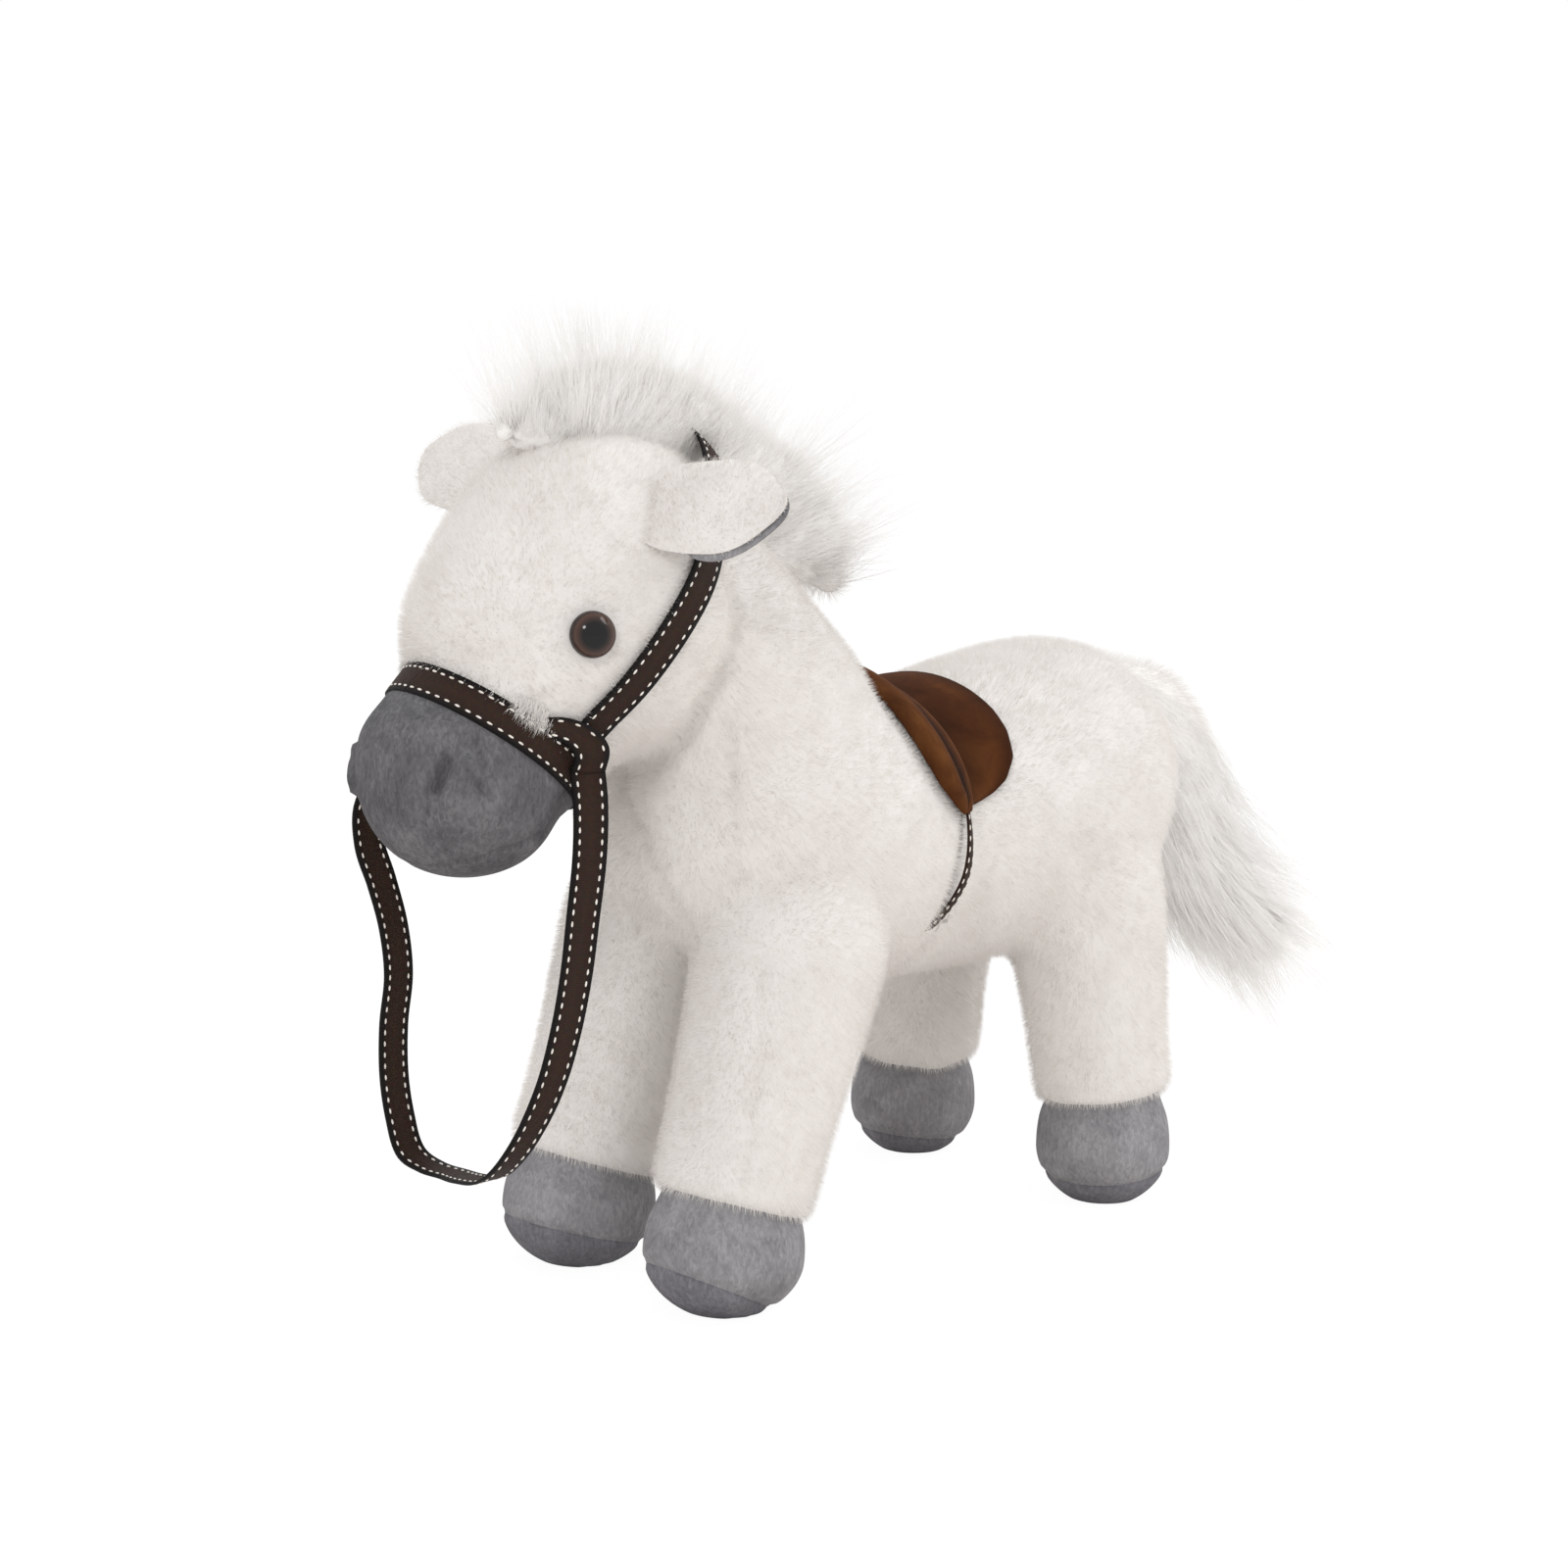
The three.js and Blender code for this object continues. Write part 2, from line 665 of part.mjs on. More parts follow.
// Tail, sewn on at the dock
const tail = {
  from: raised(0, dockBack, dockRise),
  to: raised(0, tailTipBack, -tailTipDrop),
  across: acrossX, shares: tailShares, width: tailWidth, depth: tailDepth,
  roundStart: 0.05, roundEnd: 0.12, sides: 14, rings: 13,
};
addPiece('tail', largestBody(stuffed(tail).subtract(trunkClear)), whiteFur);

// Saddle: a felt flap that follows the back and comes to a point at the girth on each side, with one fold
const trunkShellFor = (outer) => stuffed(trunk, outer).subtract(trunkClear);
const saddleOutline = new THREE.Shape();
const saddleTipHeight = trunkMiddleHeight + saddleTipRise;
const saddleTopHeight = trunkMiddleHeight + saddleTopRise;
const saddleFlankHeight = (saddleTipHeight + saddleTopHeight) / 2;
saddleOutline.moveTo(saddleTipBack, saddleTipHeight);
saddleOutline.quadraticCurveTo(-saddleFrontReach, saddleTipHeight, -saddleFrontReach, saddleFlankHeight);
saddleOutline.lineTo(-saddleFrontReach, saddleTopHeight);
saddleOutline.lineTo(saddleRearBack, saddleTopHeight);
saddleOutline.lineTo(saddleRearBack, saddleFlankHeight);
saddleOutline.quadraticCurveTo(saddleRearBack, saddleTipHeight, saddleTipBack, saddleTipHeight);
const saddleBlank = new THREE.ExtrudeGeometry(saddleOutline, {
  depth: 2 * trunkWidth, bevelEnabled: false, curveSegments: 8,
});
saddleBlank.rotateY(Math.PI / 2);
saddleBlank.rotateX(Math.PI / 2);
saddleBlank.translate(-trunkWidth, 0, 0);
const saddleTip = raised(0, saddleTipBack, saddleTipRise);
const saddleFoldRun = raised(0, -saddleFoldTopReach, saddleTopRise).sub(saddleTip).normalize();
const saddleFold = bandAt(saddleTip, acrossX.clone().cross(saddleFoldRun), saddleFoldWidth)
  .subtract(stuffed(trunk, seamGap + saddleThickness - saddleFoldDepth));
const saddle = trunkShellFor(seamGap + saddleThickness)
  .intersect(toSolid(saddleBlank))
  .subtract(stuffed(neck, seamGap))
  .subtract(saddleFold);
addPiece('saddle', largestBody(saddle), brownSuede);

// Girth: the ribbon from the saddle's points round under the belly
const girthRun = point(0, saddleTipBack + girthBottomReach, saddleTipRise + trunkDepth / 2).normalize();
const girthWay = acrossX.clone().cross(girthRun).negate();
const girth = trunkShellFor(ribbonOuter)
  .intersect(bandAt(saddleTip, girthWay, ribbonWidth))
  .subtract(blockBeyond(point(0, 0, saddleTipHeight - seamGap), upZ));
addPiece('girth_strap', largestBody(girth), brownRibbon);

// Reins: a flat ribbon swept along its route, its width lying along the horse
const reinPoints = reinRoute.map(([side, back, rise]) => raised(side, back, rise));
const reinCurve = new THREE.CatmullRomCurve3(reinPoints, false, 'centripetal');
const reinSteps = 44;
const reinPlaces = [...reinCurve.getPointAt(0).toArray()];
const reinCorners = [[1, 1], [-1, 1], [-1, -1], [1, -1]];
for (let step = 0; step <= reinSteps; step += 1) {
  const share = step / reinSteps;
  const middle = reinCurve.getPointAt(share);
  const ahead = reinCurve.getTangentAt(share);
  const twist = reinTwist * Math.max(0, 1 - share / reinTwistShare);
  const widthway = point(Math.sin(twist), Math.cos(twist), 0);
  widthway.addScaledVector(ahead, -widthway.dot(ahead)).normalize();
  const faceway = widthway.clone().cross(ahead);
  for (const [wide, thick] of reinCorners) {
    const corner = middle.clone()
      .addScaledVector(widthway, wide * ribbonWidth / 2)
      .addScaledVector(faceway, thick * ribbonThickness / 2);
    reinPlaces.push(...corner.toArray());
  }
}
reinPlaces.push(...reinCurve.getPointAt(1).toArray());
addPiece('reins', toSolid(ringedGeometry(reinPlaces, reinCorners.length)), brownRibbon);

// The whole horse is moved so that its middle, apart from the reins, stands over the origin
const standing = new THREE.Box3();
for (const piece of horse.children) {
  if (piece.name !== 'reins') standing.expandByObject(piece);
}
horse.position.y = -(standing.min.y + standing.max.y) / 2;

export default horse;
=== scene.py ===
import json
from math import atan2, cos, pi, radians, sin, sqrt

import bmesh
import bpy
import numpy as np
from mathutils import Matrix, Vector
from mathutils.bvhtree import BVHTree

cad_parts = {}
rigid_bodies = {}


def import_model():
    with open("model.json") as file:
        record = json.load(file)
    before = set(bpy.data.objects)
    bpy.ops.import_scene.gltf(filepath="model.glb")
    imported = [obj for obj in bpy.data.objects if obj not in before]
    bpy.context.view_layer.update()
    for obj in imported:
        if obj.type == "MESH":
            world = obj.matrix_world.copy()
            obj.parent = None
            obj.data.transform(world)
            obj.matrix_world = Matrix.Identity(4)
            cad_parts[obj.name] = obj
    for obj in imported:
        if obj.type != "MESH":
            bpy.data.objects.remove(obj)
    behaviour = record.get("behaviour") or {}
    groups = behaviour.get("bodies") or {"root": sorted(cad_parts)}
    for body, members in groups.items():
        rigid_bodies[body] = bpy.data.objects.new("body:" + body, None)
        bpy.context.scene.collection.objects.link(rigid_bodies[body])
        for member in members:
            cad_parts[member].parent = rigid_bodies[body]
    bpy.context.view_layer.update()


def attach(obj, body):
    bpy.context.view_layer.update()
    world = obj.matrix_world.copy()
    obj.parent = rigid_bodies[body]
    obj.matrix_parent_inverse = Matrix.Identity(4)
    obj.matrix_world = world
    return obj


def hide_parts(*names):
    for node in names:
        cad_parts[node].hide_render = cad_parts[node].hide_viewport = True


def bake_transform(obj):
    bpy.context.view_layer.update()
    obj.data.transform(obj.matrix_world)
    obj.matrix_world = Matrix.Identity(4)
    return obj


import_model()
scene = bpy.context.scene
mm = 0.001

# Camera: it stands off the horse's left shoulder, at the height of its eyes and looking a little down.
# The horse is turned half away from it, with its head to the left of the picture.
camera_lens = bpy.data.cameras.new("camera")
camera_lens.lens = 57.7
camera_lens.sensor_width = 36
camera = bpy.data.objects.new("camera", camera_lens)
camera.location = (0.5298, -0.5895, 0.2408)
camera.rotation_euler = (radians(82.4), 0, radians(45))
scene.collection.objects.link(camera)
scene.camera = camera
scene.view_settings.view_transform = "Standard"

# Studio: a flat pale floor under a bright even sky, a soft lamp in front and a broader one behind the left side.
# The camera sees floor and sky as white, and the floor keeps the horse's faint shadow.
floor_paint = bpy.data.materials.new("studio_floor")
floor_paint.use_nodes = True
floor_nodes, floor_links = floor_paint.node_tree.nodes, floor_paint.node_tree.links
floor_shader = floor_nodes["Principled BSDF"]
floor_shader.inputs["Base Color"].default_value = (0.94, 0.9, 0.87, 1)
floor_shader.inputs["Roughness"].default_value = 1
floor_glow = floor_nodes.new("ShaderNodeEmission")
floor_glow.inputs["Strength"].default_value = 1.06
floor_mix = floor_nodes.new("ShaderNodeMixShader")
rays = floor_nodes.new("ShaderNodeLightPath")
seen = floor_nodes.new("ShaderNodeMath")
seen.operation = "MAXIMUM"
floor_links.new(rays.outputs["Is Camera Ray"], seen.inputs[0])
floor_links.new(rays.outputs["Is Glossy Ray"], seen.inputs[1])
glow_share = floor_nodes.new("ShaderNodeMath")
glow_share.operation = "MULTIPLY"
glow_share.inputs[1].default_value = 0.9
floor_links.new(seen.outputs[0], glow_share.inputs[0])
floor_links.new(glow_share.outputs[0], floor_mix.inputs["Fac"])
floor_links.new(floor_shader.outputs[0], floor_mix.inputs[1])
floor_links.new(floor_glow.outputs[0], floor_mix.inputs[2])
floor_links.new(floor_mix.outputs[0], floor_nodes["Material Output"].inputs["Surface"])

floor_bm = bmesh.new()
bmesh.ops.create_grid(floor_bm, x_segments=1, y_segments=1, size=6)
floor_mesh = bpy.data.meshes.new("studio_floor")
floor_bm.to_mesh(floor_mesh)
floor_bm.free()
floor_mesh.materials.append(floor_paint)
floor = bpy.data.objects.new("studio_floor", floor_mesh)
scene.collection.objects.link(floor)

for name, spot, size, power in (("key", (0.95, -1.6, 1.2), 0.42, 7), ("fill", (1.1, 1.2, 1.7), 1.2, 13)):
    lamp = bpy.data.lights.new(name, "AREA")
    lamp.shape = "DISK"
    lamp.size = size
    lamp.energy = power
    stand = bpy.data.objects.new(name, lamp)
    stand.location = spot
    stand.rotation_euler = (Vector((0, 0, 0.12)) - Vector(spot)).to_track_quat("-Z", "Y").to_euler()
    scene.collection.objects.link(stand)

sky = bpy.data.worlds.new("sky")
sky.use_nodes = True
scene.world = sky
sky_nodes, sky_links = sky.node_tree.nodes, sky.node_tree.links
background = sky_nodes["Background"]
background.inputs["Color"].default_value = (1, 1, 1, 1)
sky_rays = sky_nodes.new("ShaderNodeLightPath")
sky_level = sky_nodes.new("ShaderNodeMapRange")
sky_level.inputs["To Min"].default_value = 0.76
sky_level.inputs["To Max"].default_value = 1
sky_seen = sky_nodes.new("ShaderNodeMath")
sky_seen.operation = "MAXIMUM"
sky_links.new(sky_rays.outputs["Is Camera Ray"], sky_seen.inputs[0])
sky_links.new(sky_rays.outputs["Is Glossy Ray"], sky_seen.inputs[1])
sky_links.new(sky_seen.outputs[0], sky_level.inputs["Value"])
sky_links.new(sky_level.outputs[0], background.inputs["Strength"])

# Reins: one dark brown woven ribbon with a black edge, hanging in a loop from both sides of the noseband.
# Pale thread runs along both of its edges in short stitches. The route is the loop's own, side to side.
ribbon_width = 9.5 * mm
ribbon_thickness = 0.8 * mm
stitch_pitch = 3.1 * mm
hoof_to_middle = -36.23
rein_knots = [
    (30.35, -127, 158.5), (31.7, -127, 148), (32.2, -128, 134), (31.6, -130, 118), (31, -132, 103),
    (30, -135, 88), (28.4, -139, 74), (25, -144, 61), (19, -147, 51.5), (10, -146, 46),
    (-1, -144, 43.6), (-12, -141, 42), (-22, -141, 42), (-30, -142, 45), (-34.5, -142, 54),
    (-37, -142, 66), (-38, -141, 80), (-38, -139, 94), (-38.6, -140, 108), (-39.6, -143, 121),
    (-39.6, -147, 133), (-38, -147, 145), (-35.2, -138, 152), (-31.2, -129, 158.5),
]


def at(side, back, height):
    """A point given in millimetres, counted from midway between the hooves, in the row frame."""
    return Vector((side, back + hoof_to_middle, height)) * mm


def even_route(knots, steps):
    """Points at even distances along one smooth curve through the knots."""
    fine = []
    last = len(knots) - 1
    for i in range(last):
        before, start, end, after = (knots[min(max(i + k, 0), last)] for k in (-1, 0, 1, 2))
        reach = (end - start).length / 3
        leave = start + (end - before).normalized() * reach
        arrive = end - (after - start).normalized() * reach
        for part in np.linspace(0, 1, 12, endpoint=i == last - 1):
            fine.append(start * (1 - part) ** 3 + leave * 3 * part * (1 - part) ** 2
                        + arrive * 3 * part * part * (1 - part) + end * part ** 3)
    places = np.array(fine)
    run = np.concatenate([[0], np.cumsum(np.linalg.norm(np.diff(places, axis=0), axis=1))])
    wanted = np.linspace(0, run[-1], steps + 1)
    return np.stack([np.interp(wanted, run, places[:, k]) for k in range(3)], axis=1), run[-1]


def new_piece(name, bm, finish):
    """Turns a bmesh into a smooth piece at the origin, with its finish."""
    mesh = bpy.data.meshes.new(name)
    bm.to_mesh(mesh)
    bm.free()
    mesh.shade_smooth()
    mesh.materials.append(finish)
    piece = bpy.data.objects.new(name, mesh)
    scene.collection.objects.link(piece)
    return piece


def settled(piece):
    """Makes a piece's modifiers part of its mesh."""
    seen = piece.evaluated_get(bpy.context.evaluated_depsgraph_get())
    mesh = bpy.data.meshes.new_from_object(seen)
    piece.modifiers.clear()
    piece.data = mesh
    return piece


def strip_of(name, steps_across, steps_along, size, thickness, place, finish):
    """A strip of cloth: place(across, along) says where it lies, with both running from -1 to 1."""
    width, length = size
    bm = bmesh.new()
    uv = bm.loops.layers.uv.new("UVMap")
    bmesh.ops.create_grid(bm, x_segments=steps_across, y_segments=steps_along, size=1)
    for face in bm.faces:
        for loop in face.loops:
            loop[uv].uv = (loop.vert.co.x * width / 2, loop.vert.co.y * length / 2)
    for vert in bm.verts:
        vert.co = place(vert.co.x, vert.co.y)
    piece = new_piece(name, bm, finish)
    wall = piece.modifiers.new("wall", "SOLIDIFY")
    wall.thickness = thickness
    wall.offset = 0
    return settled(piece)


def sewn_rows(name, size, inset, thickness, place, finish, rows=(-1, 1)):
    """Rows of stitches along the edges of a ribbon, one at each edge named, each stitch going through it."""
    width, length = size
    bm = bmesh.new()
    count = int(length / stitch_pitch)
    edge = 1 - 2 * inset / width
    nudge = 0.3 * mm / length
    for i in range(count):
        along = -1 + 2 * (i + 0.5) / count
        for across in (edge * row for row in rows):
            spot = place(across, along)
            ahead = (place(across, along + nudge) - place(across, along - nudge)).normalized()
            sideways = (place(across + 0.1, along) - place(across - 0.1, along)).normalized()
            up = ahead.cross(sideways).normalized()
            turn = Matrix((ahead * 1.1 * mm, sideways * 0.42 * mm, up * (thickness / 2 + 0.28 * mm)))
            bmesh.ops.create_uvsphere(
                bm, u_segments=8, v_segments=5, radius=1,
                matrix=Matrix.Translation(spot) @ turn.transposed().to_4x4())
    bmesh.ops.recalc_face_normals(bm, faces=bm.faces)
    return new_piece(name, bm, finish)


def blank_finish(name, roughness, colour=(1, 1, 1)):
    """A new material with its shader, and quick ways to add a node and to join two sockets."""
    finish = bpy.data.materials.new(name)
    finish.use_nodes = True
    tree = finish.node_tree
    shader = tree.nodes["Principled BSDF"]
    shader.inputs["Roughness"].default_value = roughness
    shader.inputs["Base Color"].default_value = (*colour, 1)
    shader.inputs["Specular IOR Level"].default_value = 0.15

    def add(kind, **values):
        node = tree.nodes.new("ShaderNode" + kind)
        for key, value in values.items():
            if hasattr(node, key):
                setattr(node, key, value)
            else:
                node.inputs[key.replace("_", " ")].default_value = value
        return node

    return finish, shader, add, tree.links.new


def ramp_of(add, *stops):
    """A colour ramp with the given (place, colour) stops."""
    ramp = add("ValToRGB").color_ramp
    ramp.elements[0].position, ramp.elements[0].color = stops[0][0], (*stops[0][1], 1)
    ramp.elements[1].position, ramp.elements[1].color = stops[-1][0], (*stops[-1][1], 1)
    for place, colour in stops[1:-1]:
        ramp.elements.new(place).color = (*colour, 1)
    return ramp.id_data.nodes[-1]


def tone(red, green, blue):
    """A colour as it is read off a screen, from 0 to 255, in the units that shaders use."""
    return tuple(((c / 255 + 0.055) / 1.055) ** 2.4 for c in (red, green, blue))


woven_ribbon, shader, add, join = blank_finish("woven_ribbon", 0.62)
spread = add("SeparateXYZ")
join(add("TexCoord").outputs["UV"], spread.inputs[0])
off_middle = add("Math", operation="ABSOLUTE")
join(spread.outputs["X"], off_middle.inputs[0])
edge_share = add("Math", operation="DIVIDE")
join(off_middle.outputs[0], edge_share.inputs[0])
edge_share.inputs[1].default_value = ribbon_width / 2
edge_ramp = ramp_of(add, (0.0, tone(51, 35, 27)), (0.55, tone(45, 30, 23)), (0.74, tone(32, 23, 19)),
                    (0.80, tone(23, 18, 17)), (1.0, tone(18, 15, 14)))
join(edge_share.outputs[0], edge_ramp.inputs[0])
speckle = add("TexNoise", Scale=900.0, Detail=2.0)
join(add("TexCoord").outputs["Object"], speckle.inputs["Vector"])
dusty = add("MixRGB", blend_type="SOFT_LIGHT", Fac=0.5)
join(edge_ramp.outputs[0], dusty.inputs[1])
join(speckle.outputs["Color"], dusty.inputs[2])
join(dusty.outputs[0], shader.inputs["Base Color"])
rib_count = add("Math", operation="MULTIPLY")
join(spread.outputs["Y"], rib_count.inputs[0])
rib_count.inputs[1].default_value = 2 * pi / (0.62 * mm)
rib_wave = add("Math", operation="SINE")
join(rib_count.outputs[0], rib_wave.inputs[0])
rib_bump = add("Bump", Strength=0.55, Distance=0.12 * mm)
join(rib_wave.outputs[0], rib_bump.inputs["Height"])
join(rib_bump.outputs[0], shader.inputs["Normal"])

stitch_thread, shader, add, join = blank_finish("stitch_thread", 0.75, tone(236, 226, 214))
ply = add("TexNoise", Scale=1600.0, Detail=1.0)
join(add("TexCoord").outputs["Object"], ply.inputs["Vector"])
ply_tones = ramp_of(add, (0.3, tone(226, 217, 206)), (0.6, tone(250, 246, 240)))
join(ply.outputs["Fac"], ply_tones.inputs[0])
join(ply_tones.outputs[0], shader.inputs["Base Color"])

rein_steps = 240
rein_line, rein_length = even_route([at(*knot) for knot in rein_knots], rein_steps)
rein_turn = radians(25)
rein_turn_share = 0.34


def rein_place(across, along):
    """Where a point of the reins lies: their width lies along the horse, turned a little at the near end."""
    share = min(max((along + 1) / 2, 0), 1)
    step = min(int(share * rein_steps), rein_steps - 1)
    part = share * rein_steps - step
    here, there = Vector(rein_line[step]), Vector(rein_line[step + 1])
    ahead = (there - here).normalized()
    turn = rein_turn * max(0, 1 - share / rein_turn_share)
    wide = Vector((sin(turn), cos(turn), 0))
    wide = (wide - ahead * wide.dot(ahead)).normalized()
    return here.lerp(there, part) + wide * across * ribbon_width / 2


rein_size = (ribbon_width, rein_length)
reins = strip_of("reins_ribbon", 6, rein_steps, rein_size, ribbon_thickness, rein_place, woven_ribbon)
rein_stitches = sewn_rows("reins_stitches", rein_size, 1.6 * mm, ribbon_thickness, rein_place, stitch_thread)
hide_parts("reins")
for piece in (reins, rein_stitches):
    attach(piece, "reins")

# Plush cover: one cream-white short-pile cloth over trunk, neck, head and legs, stuffed until it is round.
# Its panels are sewn together, so each form runs into the next with a soft fold. The pile stands on it.
pile_height = 1.1 * mm
trunk_shares = [
    (0.00, 0.08, 0.82, 0.86), (0.15, 0.08, 0.86, 0.96), (0.31, 0.01, 0.93, 1.02), (0.41, -0.03, 0.94, 0.98),
    (0.47, -0.06, 0.78, 0.91), (0.58, -0.05, 0.84, 0.95), (0.70, -0.02, 0.94, 0.99), (0.86, 0.045, 0.98, 0.98),
    (1.00, 0.18, 0.96, 0.94),
]
neck_shares = [(0.00, 0.00, 0.98, 1.00), (0.35, 0.02, 0.93, 0.90), (0.70, 0.05, 0.79, 0.73), (1.00, 0.02, 0.76, 0.66)]
head_shares = [
    (0.00, 0.00, 0.66, 0.60), (0.14, 0.00, 0.69, 0.64), (0.25, 0.005, 0.665, 0.635), (0.33, 0.00, 0.70, 0.685),
    (0.45, 0.035, 0.89, 0.90), (0.62, 0.03, 1.00, 1.01), (0.80, 0.03, 0.97, 1.04), (1.00, 0.00, 0.82, 0.96),
]
leg_shares = [(0.00, 0.00, 1.02, 1.04), (0.35, 0.02, 0.96, 0.98), (0.75, 0.01, 0.86, 0.86), (1.00, 0.00, 0.84, 0.84)]
across_x = Vector((1, 0, 0))


def form_of(start, end, shares, width, depth, round_start, round_end, across=across_x, square=False):
    """A stuffed form along a run, with its share table, its full width and depth and its round ends."""
    return dict(start=start, end=end, shares=shares, width=width * mm, depth=depth * mm,
                round_start=round_start, round_end=round_end, across=across, square=square)


def between(shares, along, column):
    """A smooth value between the rows of a table, whose first column says how far along each row lies."""
    last = len(shares) - 1
    row = 0
    while row < last - 1 and shares[row + 1][0] < along:
        row += 1

    def slope(i):
        before, after = shares[max(i - 1, 0)], shares[min(i + 1, last)]
        return (after[column] - before[column]) / (after[0] - before[0])

    span = shares[row + 1][0] - shares[row][0]
    part = (along - shares[row][0]) / span
    mix = part * part * (3 - 2 * part)
    return (shares[row][column] * (1 - mix) + shares[row + 1][column] * mix
            + part * (1 - part) ** 2 * span * slope(row) + part * part * (part - 1) * span * slope(row + 1))


def rounded(distance, stretch):
    """How full a rounded end still is, from nothing at its tip to one where the round stretch ends."""
    if stretch == 0 or distance >= stretch:
        return 1
    missing = 1 - max(distance, 0) / stretch
    return sqrt(1 - missing * missing)


def section(form, along):
    """The middle of a form at a share of its run, its two ways across, and its two half sizes there."""
    run = form["end"] - form["start"]
    lift = form["across"].cross(run).normalized()

    def middle(share):
        return form["start"] + run * share + lift * between(form["shares"], share, 1) * form["depth"]

    bent = middle(min(along + 0.01, 1)) - middle(max(along - 0.01, 0))
    ahead = (run if form["square"] else bent).normalized()
    side = (form["across"] - ahead * form["across"].dot(ahead)).normalized()
    full = rounded(along, form["round_start"]) * rounded(1 - along, form["round_end"])
    half_width = between(form["shares"], along, 2) * form["width"] * full / 2
    half_depth = between(form["shares"], along, 3) * form["depth"] * full / 2
    return middle(along), side, side.cross(ahead), half_width, half_depth


def on_form(form, along, angle):
    """A point on a form's skin, at an angle from its left side, counted towards its top."""
    middle, side, up, half_width, half_depth = section(form, along)
    return middle + side * cos(angle) * half_width + up * sin(angle) * half_depth


def seat_on(form, along, angle):
    """A point on a form's skin with the way straight out of it."""
    ahead = on_form(form, along + 0.01, angle) - on_form(form, along - 0.01, angle)
    around = on_form(form, along, angle + 0.01) - on_form(form, along, angle - 0.01)
    return on_form(form, along, angle), ahead.cross(around).normalized()


def add_stuffed(bm, form, grow=0, sides=48, rings=40):
    """Adds a stuffed form, made by drawing a sphere out along the form's run."""
    ball = bmesh.ops.create_uvsphere(bm, u_segments=sides, v_segments=rings, radius=1)["verts"]
    for vert in ball:
        along = (1 - vert.co.z) / 2
        at_tip = abs(vert.co.z) > 0.9999
        vert.co = section(form, along)[0] if at_tip else on_form(form, along, atan2(vert.co.y, vert.co.x))
    faces = list({face for vert in ball for face in vert.link_faces})
    for face in faces:
        face.normal_update()
    bmesh.ops.recalc_face_normals(bm, faces=faces)
    for vert in ball:
        vert.normal_update()
    for vert, out in [(vert, vert.normal.copy()) for vert in ball]:
        vert.co += out * grow
    return ball


trunk = form_of(at(0, -92, 128), at(0, 126.5, 128), trunk_shares, 118, 98, 0.24, 0.18, square=True)
neck = form_of(at(0, -28, 128), at(0, -80, 224), neck_shares, 94, 96, 0.3, 0.3)
head = form_of(at(0, -165, 136), at(0, -63, 232), head_shares, 85, 89, 0.2, 0.34)
front_legs = [form_of(at(side * 29, -41, 126), at(side * 31.5, -77.5, 27.5), leg_shares, 57, 57, 0.3, 0)
              for side in (1, -1)]
rear_legs = [form_of(at(side * 31, 76, 126), at(side * 41.5, 81.5, 32), leg_shares, 54, 54, 0.3, 0)
             for side in (1, -1)]
girth_top = at(0, -0.5, 131)
girth_run = (girth_top - at(0, -8, 79)).normalized()
girth_way = across_x.cross(girth_run)

# The nose seam's plane, where the plush cover ends and the muzzle begins
nose_pitch, nose_skew = radians(54), radians(10)
nose_way = Vector((-sin(nose_skew) * cos(nose_pitch), -cos(nose_skew) * cos(nose_pitch), -sin(nose_pitch)))
nose_spot = section(head, 0.295)[0]

body = bmesh.new()
add_stuffed(body, head, -pile_height)
cut = bmesh.ops.bisect_plane(body, geom=[*body.verts, *body.edges, *body.faces],
                             plane_co=nose_spot + nose_way * 8 * mm, plane_no=nose_way, clear_outer=True)
bmesh.ops.holes_fill(body, edges=[e for e in cut["geom_cut"] if isinstance(e, bmesh.types.BMEdge)])
for form in (trunk, neck, *front_legs, *rear_legs):
    add_stuffed(body, form, -pile_height)
plush_cloth, shader, add, join = blank_finish("plush_cloth", 1)
skin_noise = add("TexNoise", Scale=60.0, Detail=3.0)
join(add("TexCoord").outputs["Object"], skin_noise.inputs["Vector"])
skin_tones = ramp_of(add, (0.35, tone(235, 231, 228)), (0.65, tone(241, 238, 235)))
join(skin_noise.outputs["Fac"], skin_tones.inputs[0])
join(skin_tones.outputs[0], shader.inputs["Base Color"])
skin_nap = add("TexNoise", Scale=900.0, Detail=2.0, Roughness=0.6)
join(add("TexCoord").outputs["Object"], skin_nap.inputs["Vector"])
skin_bump = add("Bump", Strength=0.35, Distance=0.4 * mm)
join(skin_nap.outputs["Fac"], skin_bump.inputs["Height"])
join(skin_bump.outputs[0], shader.inputs["Normal"])
plush_cover = new_piece("plush_cover", body, plush_cloth)
one_skin = plush_cover.modifiers.new("one skin", "REMESH")
one_skin.mode = "VOXEL"
one_skin.voxel_size = 1.8 * mm
soft_folds = plush_cover.modifiers.new("soft folds", "SMOOTH")
soft_folds.factor = 0.5
soft_folds.iterations = 55
settled(plush_cover)


def pressed_in(verts, line, depth, reach):
    """Presses the cloth in along a line of points, as a seam or a pulled stitch does."""
    places = np.array([vert.co[:] for vert in verts])
    near = np.ones(len(places))
    for start, run in ((np.array(start), np.array(end - start)) for start, end in zip(line, line[1:])):
        share = np.clip((places - start) @ run / (run @ run), 0, 1)
        near = np.minimum(near, np.linalg.norm(places - start - share[:, None] * run, axis=1))
    for i in np.flatnonzero(near < 3 * reach):
        verts[i].co -= verts[i].normal * depth * np.exp(-(near[i] / reach) ** 2)


